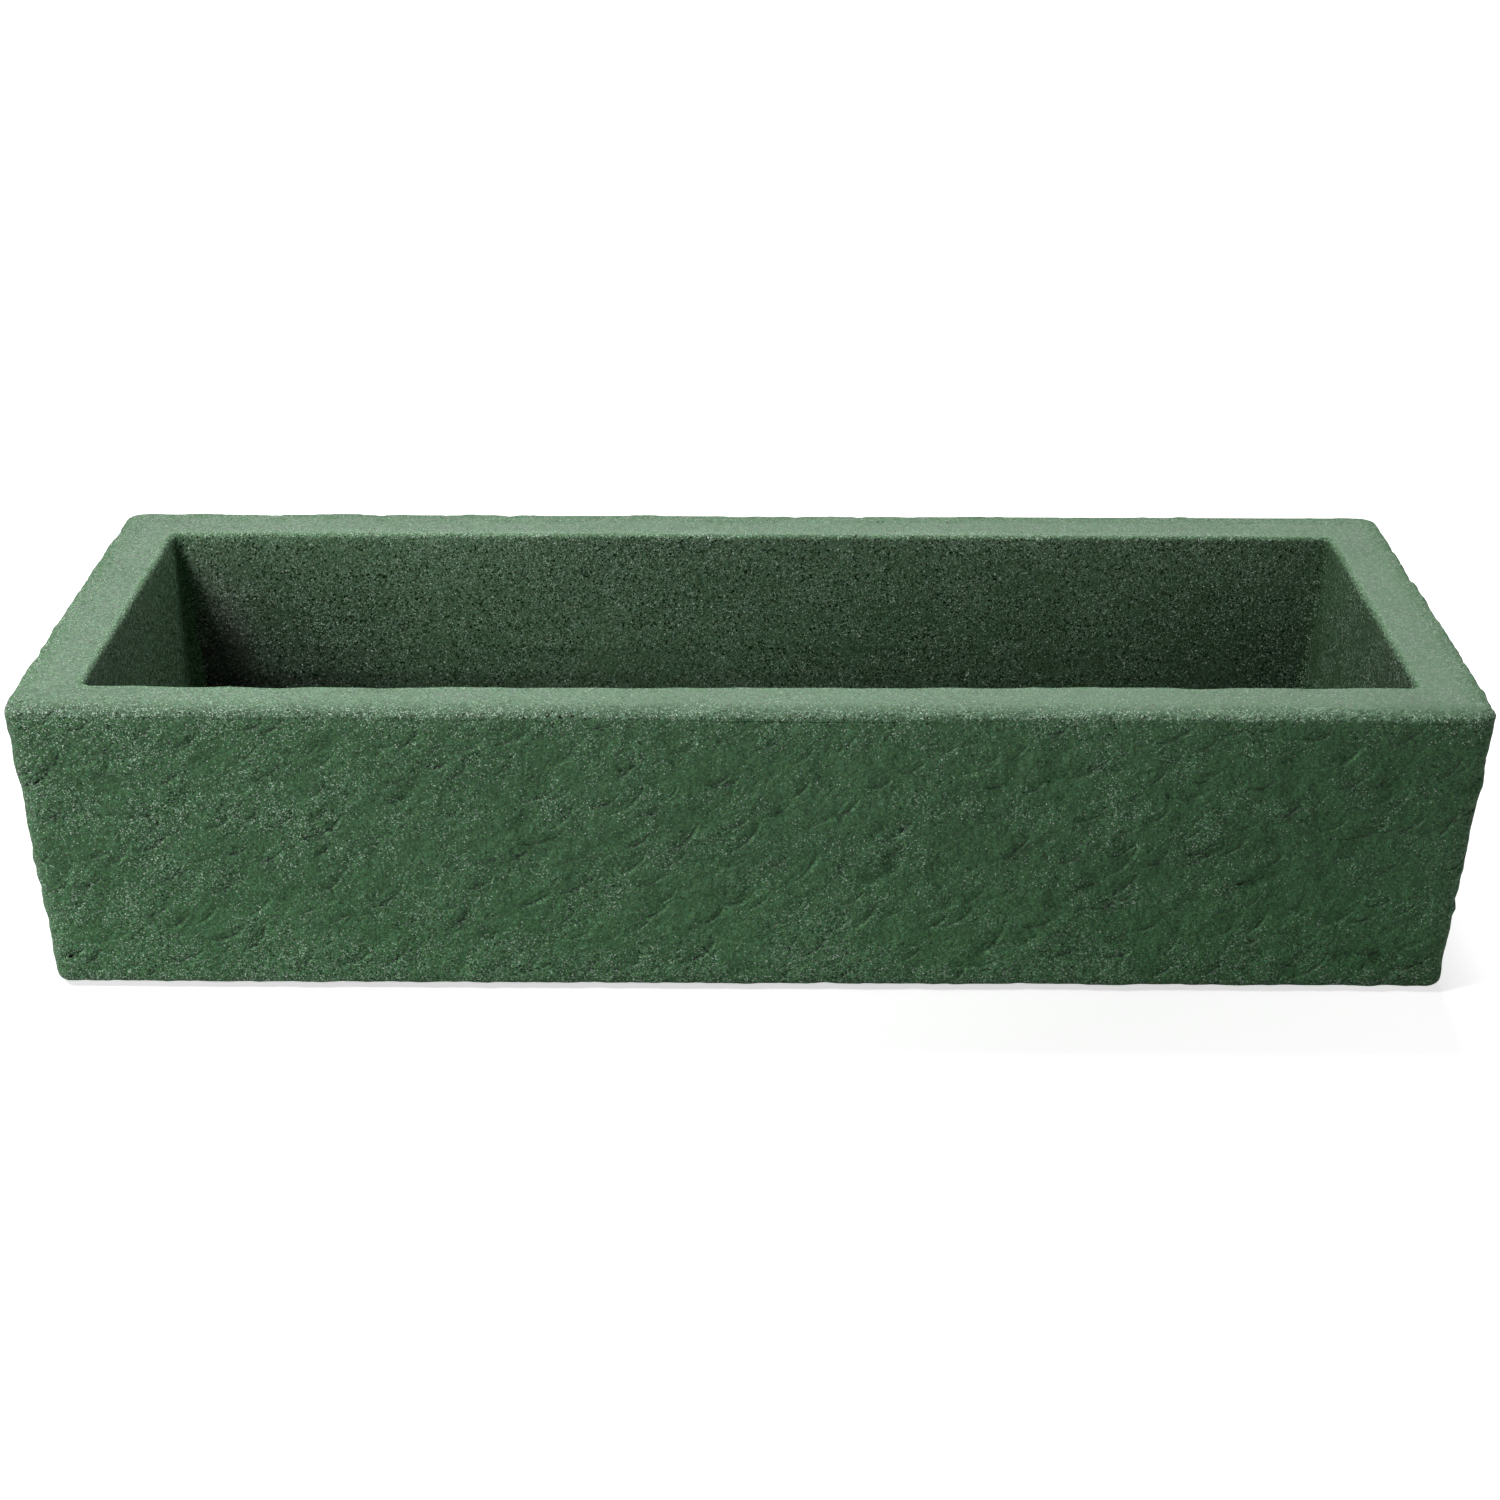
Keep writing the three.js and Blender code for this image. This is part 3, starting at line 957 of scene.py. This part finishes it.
STREAK_RANGE = (0.4, 0.6, 0.4, 1.45)
STREAKS_START = (RIM_END - 9 * MM, RIM_END)


def glint_patches(g):
    """Patches where the grains glint, more of them along the faces' lower and upper edges, high on the back
    wall and at the left end, fewer at the right end.
    """
    edges = g.greatest(g.ranged(g.up, *FOOT_GLINTS), g.ranged(g.up, *PARTING_GLINTS))
    edges = g.greatest(edges, g.product(g.inside, g.glinting_back_wall))
    ends = g.calculate("SUBTRACT", g.ranged(g.x, *LEFT_END_GLINTS), g.ranged(g.x, *RIGHT_END_FEWER_GLINTS))
    glint_bias = g.calculate("ADD", edges, g.product(ends, g.ranged(g.inside, *END_GLINTS_INSIDE)))
    patches = g.calculate("ADD", g.noise(*PATCH_NOISE), g.product(glint_bias, GLINT_BIAS_IN_PATCHES))
    return g.ranged(patches, *PATCH_RANGE)


def speck_amount(g, rough):
    """How many pale specks, partly painted glints: many in glint patches but few on the rim's top, and more
    on the rim's front edge, along its inner edge and in streaks down the back wall, most of them high up.
    """
    glinting = g.product(g.front_edge, g.ranged(g.noise(*GLINT_NOISE), *GLINT_RANGE))
    streaks = g.noise(*STREAK_NOISE, g.vector("MULTIPLY", g.skin, STREAK_STRETCH))
    back_glints = g.product(g.glinting_back_wall, g.ranged(streaks, *STREAK_RANGE), g.ranged(g.up, *STREAKS_START))
    return g.greatest(
        g.product(rough, g.ranged(g.on_top, *SPECKS_ON_TOP)),
        glinting,
        g.product(g.rim_lip, RIM_LIP_GLINTS),
        back_glints,
    )


# The sand's own colours
GRAIN_SIZE = 1.2 * MM
GRAIN_SHADES = (
    (0.0, (0.029, 0.084, 0.031)),
    (0.35, (0.049, 0.14, 0.052)),
    (0.8, (0.077, 0.202, 0.081)),
    (1.0, (0.118, 0.268, 0.124)),
)
MOTTLE_NOISE = (70 * MM, 4.0)
MOTTLE = ((0.3, (0.88, 0.91, 0.88)), (0.7, (1.1, 1.07, 1.1)))
DUST_NOISE = (1 * MM, 1.0)
DUST = ((0.3, 0.58), (0.7, 1.42))
WARM_HUE = (1.12, 1.0, 0.88)
COOL_HUE = (0.88, 1.0, 1.14)
# Pale specks: partly quartz grains, partly painted glints.
SPECK_SIZE = 0.6 * MM
SPECK_RARITY = (0.0, 1.5, 0.993, 0.7935)
DIM_SPECK = (0.15, 0.32, 0.17)
BRIGHT_SPECK = (0.66, 0.78, 0.67)


def grain_colour(g, chance):
    """Green grains, each of its own shade and hue, mottled and dusty."""
    mottle = g.ramp(g.noise(*MOTTLE_NOISE), MOTTLE)
    dust = g.grey_ramp(g.noise(*DUST_NOISE), DUST)
    colour = g.multiplied(g.multiplied(g.ramp(chance["Red"], GRAIN_SHADES), mottle), dust)
    return g.multiplied(colour, g.mixed(chance["Blue"], WARM_HUE, COOL_HUE))


def with_quartz_and_glint_specks(g, colour, specks_wanted):
    """The colour with pale specks, partly quartz grains and partly painted glints, as many as wanted."""
    speck = g.channels(g.cells(SPECK_SIZE)["Color"])
    speckled = g.calculate("GREATER_THAN", speck["Red"], g.ranged(specks_wanted, *SPECK_RARITY))
    return g.mixed(speckled, colour, g.mixed(speck["Green"], DIM_SPECK, BRIGHT_SPECK))


# Small gouges. A set is its spacing, its shift on the skin, and a gouge's length and width.
LONG_GOUGES = (40 * MM, (0.0, 0.0, 0.0), 16 * MM, 5.5 * MM)
SHORT_GOUGES = (27 * MM, (1.3, 0.7, 0.0), 10 * MM, 4 * MM)
GOUGE_SLANT_SPREAD = 0.35
GOUGE_ANGLES = (0.0, 1.0, -SLANT - GOUGE_SLANT_SPREAD, -SLANT + GOUGE_SLANT_SPREAD)
GOUGE_BEND = 0.28
GOUGE_PROFILE = ((0.3, 0.0), (0.5, 1.0), (0.63, 0.45), (0.97, 0.0))
GOUGE_LIP = ((0.24, 0.0), (0.34, 1.0), (0.46, 0.0))
GOUGE_STRENGTHS = (0.0, 1.0, 0.3, 1.0)
GOUGE_CHANCE = (0.25, 0.3)


def gouges(g, spacing, shift, length, width):
    """Bent strokes, one in each cell of a pattern on the unrolled skin, and their crisp lower lips."""
    place = g.vector("ADD", g.skin, shift)
    cell = g.cells(spacing, place, "2D")
    chance = g.channels(cell["Color"])
    local = g.vector("SUBTRACT", place, cell["Position"])
    parts = g.axes(g.rotated(local, g.ranged(chance["Red"], *GOUGE_ANGLES)))
    along = g.calculate("DIVIDE", parts["X"], length)
    square = g.product(along, along)
    bend = g.product(square, GOUGE_BEND * length)
    across = g.calculate("DIVIDE", g.calculate("SUBTRACT", parts["Y"], bend), width)
    profile_place = g.ranged(across, -1.0, 1.0)
    profile = g.channels(g.grey_ramp(profile_place, GOUGE_PROFILE))["Red"]
    lip = g.channels(g.grey_ramp(profile_place, GOUGE_LIP))["Red"]
    strength = g.product(
        g.ranged(chance["Green"], *GOUGE_STRENGTHS),
        g.ranged(chance["Blue"], *GOUGE_CHANCE),
        g.ranged(square, 0.0, 1.0, 1.0, 0.0),
    )
    return g.product(profile, strength), g.product(lip, strength)


# Tints of each zone, most of them painted light, shade or sheen. Those with stops run from the trough's left
# end, at 0, to its right end, at 1.
# A painted highlight on the gouges' lower lips, where the light would catch them.
GOUGE_LIP_HIGHLIGHT_TINT = (2.3, 2.0, 2.3)
# Painted light: the hewn face is lighter in its lowest 90 mm, as if lit from the floor.
LOW_FACE_LIGHT_TINT = grey(1.38)
LOW_FACE_LIGHT_HEIGHTS = (FOOT_END, FOOT_END + 90 * MM, 1.0, 0.0)
FACE_TINTS = ((0.05, (0.81, 0.89, 0.82)), (0.42, WHITE), (0.56, WHITE), (0.93, (0.84, 0.91, 0.86)))
# Painted sheen on the rim's front edge: whiter, and brighter towards the right end.
FRONT_EDGE_SHEEN_TINTS = ((0.94, 0.77, 0.95), (1.44, 1.16, 1.46))
# Painted light and sheen on the rim's top: lighter and whiter, least at the left end.
RIM_TOP_SHEEN_TINTS = (
    (0.0, (1.29, 1.05, 1.32)),
    (0.1, (1.43, 1.17, 1.47)),
    (0.6, (1.5, 1.23, 1.56)),
    (0.9, (1.41, 1.17, 1.44)),
)
# A painted highlight along the rim's inner edge.
RIM_LIP_HIGHLIGHT_TINT = (1.28, 1.24, 1.28)
MIDDLE_XS = (-100 * MM, 100 * MM)
# Painted shade on the cavity's end walls, greyer and darker, the right one darkest; CAVITY_END_SHADE
# lightens them towards the back.
PAINTED_END_SHADES = ((0.9, 0.7, 0.84), (0.385, 0.36, 0.34))
CAVITY_END_SHADE = (-100 * MM, 110 * MM, 0.78, 1.42)
# Painted light and shade along the back wall, low down and high up, with a painted shadow near its left end.
BACK_WALL_LIGHT_HEIGHTS = (FILLET_START - 70 * MM, RIM_END)
LOW_BACK_LIGHT_AND_SHADE = (
    (0.0, (1.5, 0.54, 1.3)),
    (0.035, (1.4, 0.54, 1.2)),
    (0.06, (0.86, 0.56, 0.8)),
    (0.1, (0.84, 0.62, 0.79)),
    (0.23, (1.6, 1.13, 1.48)),
    (0.38, (1.78, 1.22, 1.65)),
    (0.5, (1.56, 1.12, 1.46)),
    (0.65, (1.27, 0.94, 1.19)),
    (0.85, (1.28, 0.92, 1.2)),
    (1.0, (0.74, 0.56, 0.7)),
)
HIGH_BACK_LIGHT_AND_SHADE = (
    (0.2, (2.05, 1.45, 1.88)),
    (0.38, (1.22, 0.9, 1.14)),
    (0.6, (1.75, 1.2, 1.6)),
    (0.85, (1.85, 1.26, 1.7)),
    (1.0, (1.5, 1.05, 1.38)),
)
# Painted shade low on the back wall: a band, and a deeper band near its foot that fades towards the floor,
# both darkest at the left end.
SHADE_BAND_START = (FILLET_START - 63 * MM, FILLET_START - 57 * MM)
SHADE_BAND_LEVELS = ((0.0, 0.64), (0.12, 0.68), (0.2, 0.86))
FOOT_SHADE_START = (FILLET_START - 43 * MM, FILLET_START - 35 * MM)
FOOT_SHADE_FADE = (FILLET_START - 30 * MM, FLOOR_START, 1.0, 0.3)
FOOT_SHADE_LEVELS = ((0.0, 0.3), (0.1, 0.45), (0.22, 0.6), (0.5, 0.72), (1.0, 0.88))
LEVEL_TINT = (0.7, 0.76, 0.71)
AIR_HOLE_SPACING = 19 * MM
AIR_HOLE_SIZES = (0.55, 1.0, 0.0, 0.065)
AIR_HOLE_EDGE = (0.0, 0.02)
# Air holes are only painted: dark spots of painted shade, with no hollow in the mesh or its bump.
AIR_HOLE_DARKNESS = 0.8
AIR_HOLE_SHADE_COLOUR = (0.006, 0.016, 0.007)


def cavity_light_and_shade(g):
    """Painted light and shade in the cavity: end walls greyer and darker, the right one most, lighter
    towards the back; the back wall lighter and darker along its length, low down and high up.
    """
    end_shade = g.mixed(g.ranged(g.x, *MIDDLE_XS), *PAINTED_END_SHADES)
    end_shade = g.scaled(end_shade, g.ranged(g.y, *CAVITY_END_SHADE))
    low_back_light = g.ramp(g.along, LOW_BACK_LIGHT_AND_SHADE)
    high_back_light = g.ramp(g.along, HIGH_BACK_LIGHT_AND_SHADE)
    back_light = g.mixed(g.ranged(g.up, *BACK_WALL_LIGHT_HEIGHTS), low_back_light, high_back_light)
    return g.mixed(g.back_wall, end_shade, back_light)


def with_painted_light(g, colour, lips):
    """The colour with painted light, shade and sheen in each zone; the hewn face is also a little darker and
    greener towards both ends.
    """
    # The gouges' lips get a painted highlight.
    lit_lips = g.product(lips, g.hewn)
    colour = g.mixed(lit_lips, colour, g.multiplied(colour, GOUGE_LIP_HIGHLIGHT_TINT))
    # Painted light low on the hewn face.
    colour = g.tinted(colour, g.product(g.hewn, g.ranged(g.up, *LOW_FACE_LIGHT_HEIGHTS)), LOW_FACE_LIGHT_TINT)
    colour = g.tinted(colour, g.hewn, g.ramp(g.along, FACE_TINTS))
    colour = g.tinted(colour, g.front_edge, g.mixed(g.along, *FRONT_EDGE_SHEEN_TINTS))
    colour = g.tinted(colour, g.on_top, g.ramp(g.along, RIM_TOP_SHEEN_TINTS))
    colour = g.tinted(colour, g.rim_lip, RIM_LIP_HIGHLIGHT_TINT)
    return g.tinted(colour, g.inside, cavity_light_and_shade(g))


def with_painted_back_shade(g, colour):
    """The colour with painted shade low on the back wall, a band and a deeper band near its foot, both
    darkest at its left end, and a darker floor.
    """
    on_back = g.product(g.inside, g.back_wall)
    shade_band = g.product(on_back, g.ranged(g.up, *SHADE_BAND_START))
    foot_shade = g.product(on_back, g.ranged(g.up, *FOOT_SHADE_START), g.ranged(g.up, *FOOT_SHADE_FADE))
    colour = g.tinted(colour, shade_band, g.grey_ramp(g.along, SHADE_BAND_LEVELS))
    colour = g.tinted(colour, foot_shade, g.grey_ramp(g.along, FOOT_SHADE_LEVELS))
    return g.tinted(colour, g.level, LEVEL_TINT)


def with_air_holes(g, colour):
    """The colour with small dark spots, painted shade standing in for small air holes."""
    hole = g.cells(AIR_HOLE_SPACING, g.skin, "2D")
    size = g.ranged(g.channels(hole["Color"])["Red"], *AIR_HOLE_SIZES)
    pit = g.ranged(g.calculate("SUBTRACT", size, hole["Distance"]), *AIR_HOLE_EDGE)
    return g.mixed(g.product(pit, AIR_HOLE_DARKNESS), colour, AIR_HOLE_SHADE_COLOUR)


# The stone's fine relief and its gloss
GRIT_BUMP_NOISE = (4.5 * MM, 4.0)
GRIT_BUMP_HEIGHT = 2.2 * MM
GRIT_ON_CALM = (0.0, 1.0, 1.0, 0.4)
CALM_INSIDE = 0.95
CREASE_STRETCH = (0.62, 1.0, 1.0)
CREASE_NOISE = (10 * MM, 3.0)
CREASE_HEIGHT = 3.5 * MM
NOISE_MIDDLE = 0.5
GOUGE_DEPTH = 4.4 * MM
NO_LEAN = (0.5, 0.5, 0.5)
DULL_LEAN = (0.0, 1.0, 0.6, 0.43)
SHINY_LEAN = (0.0, 1.0, 1.8, 1.2)
SHINY_CHANCE = (0.72, 0.8)
SHINY_IN_PATCHES = (0.0, 1.0, 0.3, 1.0)
GRAIN_ROUGHNESS = (0.0, 1.0, 0.75, 0.26)
GLOSS_ON_TOP = (0.0, 1.0, 1.0, 0.68)
STONE_IOR = 1.5


def hewn_normal(g, calm, strokes):
    """The normal with grit all over, and creases and small gouges on the hewn faces."""
    grit = g.noise(*GRIT_BUMP_NOISE)
    gritty = g.bump(grit, GRIT_BUMP_HEIGHT, strength=g.ranged(calm, *GRIT_ON_CALM))
    slanted_skin = g.vector("MULTIPLY", g.rotated(g.skin, -SLANT), CREASE_STRETCH)
    creases = g.calculate("SUBTRACT", g.noise(*CREASE_NOISE, slanted_skin), NOISE_MIDDLE)
    creases = g.product(g.calculate("ABSOLUTE", creases), g.hewn)
    creased = g.bump(creases, CREASE_HEIGHT, gritty)
    return g.bump(g.product(strokes, g.hewn), -GOUGE_DEPTH, creased)


def stone_material():
    """Green cast stone: sand grains of many shades, bright facets, pits painted as dark spots, slow
    mottling, and painted light, shade and glints in its colour.
    """
    g = Stone("cast_stone_green")
    # rough: the glint patches, where grains are shinier and pale specks, partly painted glints, gather.
    rough = glint_patches(g)
    grain = g.cells(GRAIN_SIZE)["Color"]
    chance = g.channels(grain)
    strokes, lips = gouges(g, *LONG_GOUGES)
    more_strokes, more_lips = gouges(g, *SHORT_GOUGES)

    colour = with_painted_light(g, grain_colour(g, chance), g.greatest(lips, more_lips))
    colour = with_quartz_and_glint_specks(g, colour, speck_amount(g, rough))
    colour = with_air_holes(g, with_painted_back_shade(g, colour))

    shiny = g.product(g.ranged(chance["Green"], *SHINY_CHANCE), g.ranged(rough, *SHINY_IN_PATCHES))
    calm = g.greatest(g.on_top, g.product(g.inside, CALM_INSIDE))
    normal = hewn_normal(g, calm, g.calculate("ADD", strokes, more_strokes))
    steepness = g.ranged(shiny, 0.0, 1.0, g.ranged(calm, *DULL_LEAN), g.ranged(g.on_top, *SHINY_LEAN))
    lean = g.scaled(g.vector("SUBTRACT", grain, NO_LEAN), steepness)
    g.shade(
        Base_Color=colour,
        Roughness=g.product(g.ranged(shiny, *GRAIN_ROUGHNESS), g.ranged(g.on_top, *GLOSS_ON_TOP)),
        IOR=STONE_IOR,
        Normal=g.vector("NORMALIZE", g.vector("ADD", normal, lean)),
    )
    return g.material


# Rubber and plastic
HAZE_NOISE = (3 * MM, 5.0)
HAZE_COLOUR_RANGE = (0.4, 0.9)
HAZE_ROUGHNESS_RANGE = (0.3, 0.8)
HAZE_GAIN = 2.2
HAZE_LIFT = 0.01
ROUGHNESS_SPREAD = 0.1
MOULD_GRAIN_SIZE = 0.6 * MM
MOULD_GRAIN_HEIGHT = 0.05 * MM


def plain_material(name, colour, roughness):
    """A moulded rubber or plastic with a faint haze of wear."""
    g = Surface(name)
    haze = g.noise(*HAZE_NOISE)
    lighter = tuple(HAZE_GAIN * value + HAZE_LIFT for value in colour)
    smoothest, roughest = roughness - ROUGHNESS_SPREAD, roughness + ROUGHNESS_SPREAD
    g.shade(
        Base_Color=g.mixed(g.ranged(haze, *HAZE_COLOUR_RANGE), colour, lighter),
        Roughness=g.ranged(haze, *HAZE_ROUGHNESS_RANGE, smoothest, roughest),
        Normal=g.bump(g.noise(MOULD_GRAIN_SIZE), MOULD_GRAIN_HEIGHT),
    )
    return g.material


STONE = stone_material()
SLEEVE_PLASTIC = plain_material("grey_sleeve_plastic", colour=(0.03, 0.032, 0.034), roughness=0.45)
PLUG_RUBBER = plain_material("black_plug_rubber", colour=(0.013, 0.013, 0.014), roughness=0.65)
PAD_RUBBER = plain_material("black_pad_rubber", colour=grey(0.017), roughness=0.75)

# Pieces


def finished(piece, material, slot, body, *nodes):
    """Gives a piece its material and its body, and hides the nodes that it stands for. Its slot is not used.
    """
    piece.data.materials.clear()
    piece.data.materials.append(material)
    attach(piece, body)
    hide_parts(*nodes)


finished(trough_body(), STONE, "cast_stone", "trough", "trough_body")
for side in DRAIN_SIDES:
    finished(drain_sleeve(side), SLEEVE_PLASTIC, "sleeve_plastic", "trough", f"drain_sleeve_{side}")
    finished(drain_plug(side), PLUG_RUBBER, "plug_rubber", f"{side}_plug", f"drain_plug_{side}")
for corner in PAD_CORNERS:
    finished(foot_pad(corner), PAD_RUBBER, "pad_rubber", "trough", f"foot_pad_{corner}")

# Studio

CAMERA_PLACE = (2.5 * MM, -1588.8 * MM, RIM_Z + 628.7 * MM)
CAMERA_PITCH = math.radians(24.87)  # downwards
CAMERA_YAW = math.radians(0.16)
CAMERA_ROLL = math.radians(-0.16)
CAMERA_FOCAL_PIXELS = 2543
CAMERA_SENSOR_WIDTH = 36
PHOTO_PIXELS = 1500
FLOOR_SIZE = 12
FLOOR_COLOUR = grey(0.85)
FLOOR_ROUGHNESS = 0.9
FLOOR_GLOW = (0.3, 1.0, 0.66, 1.0)  # from near the object to the white away from it
BACKDROP_DIRECTION = (0, 0.8, 0.6)
BACKDROP_STRENGTH = (-0.1, 0.5, 0.0, 1.1)

# Each lamp's name, place, target, size and power
LAMPS = (
    ("overhead_light", (0, 1.6, 3.8), (0, 0, RIM_Z), (1.6, 1.2), 102),
    ("key_light", (-1.0, -0.6, 1.3), (-0.1, 0, 0.1), (0.4, 0.4), 14),
    ("low_left_light", (-1.5, -1.2, 0.35), (-0.1, 0, 0.1), (0.4, 0.4), 4),
)


def camera():
    """The camera at the photograph's place."""
    data = bpy.data.cameras.new("camera")
    data.sensor_width = CAMERA_SENSOR_WIDTH
    data.lens = data.sensor_width * CAMERA_FOCAL_PIXELS / PHOTO_PIXELS
    placed = linked("camera", data)
    placed.location = CAMERA_PLACE
    placed.rotation_euler = (QUARTER_TURN - CAMERA_PITCH, CAMERA_ROLL, CAMERA_YAW)
    bpy.context.scene.camera = placed


def softbox(name, place, target, size, power):
    """A rectangular area lamp that faces its target."""
    data = bpy.data.lights.new(name, "AREA")
    data.shape = "RECTANGLE"
    data.size, data.size_y = size
    data.energy = power
    lamp = linked(name, data)
    lamp.location = place
    lamp.rotation_euler = (Vector(target) - Vector(place)).to_track_quat("-Z", "Y").to_euler()


def floor():
    """A pale floor that fades to the white of the background away from the object."""
    mesh = bpy.data.meshes.new("floor")
    half = FLOOR_SIZE / 2
    corners = [(-half, -half, 0), (half, -half, 0), (half, half, 0), (-half, half, 0)]
    mesh.from_pydata(corners, [], [(0, 1, 2, 3)])
    piece = linked("floor", mesh)
    g = Surface("pale_floor")
    seen = g.node("LightPath").outputs["Is Camera Ray"]
    distance = g.vector("LENGTH", g.place, output="Value")
    g.shade(
        Base_Color=FLOOR_COLOUR,
        Roughness=FLOOR_ROUGHNESS,
        Specular_IOR_Level=0.0,
        Emission_Color=WHITE,
        Emission_Strength=g.product(seen, g.ranged(distance, *FLOOR_GLOW)),
    )
    mesh.materials.append(g.material)


def surroundings():
    """White to the camera. Surfaces mirror a white backdrop behind and above, and a dark room ahead."""
    world = bpy.data.worlds.new("studio")
    bpy.context.scene.world = world
    g = Graph(world)
    ray = g.node("LightPath").outputs
    direction = g.node("TexCoord").outputs["Generated"]
    towards = g.vector("DOT_PRODUCT", direction, BACKDROP_DIRECTION, output="Value")
    backdrop = g.ranged(towards, *BACKDROP_STRENGTH, interpolation_type="SMOOTHSTEP")
    mirrored = g.product(backdrop, ray["Is Glossy Ray"])
    background = g.tree.nodes["Background"].inputs
    g.feed(background["Color"], WHITE)
    g.feed(background["Strength"], g.greatest(mirrored, ray["Is Camera Ray"]))


camera()
floor()
surroundings()
for lamp in LAMPS:
    softbox(*lamp)
bpy.context.scene.view_settings.view_transform = "Standard"
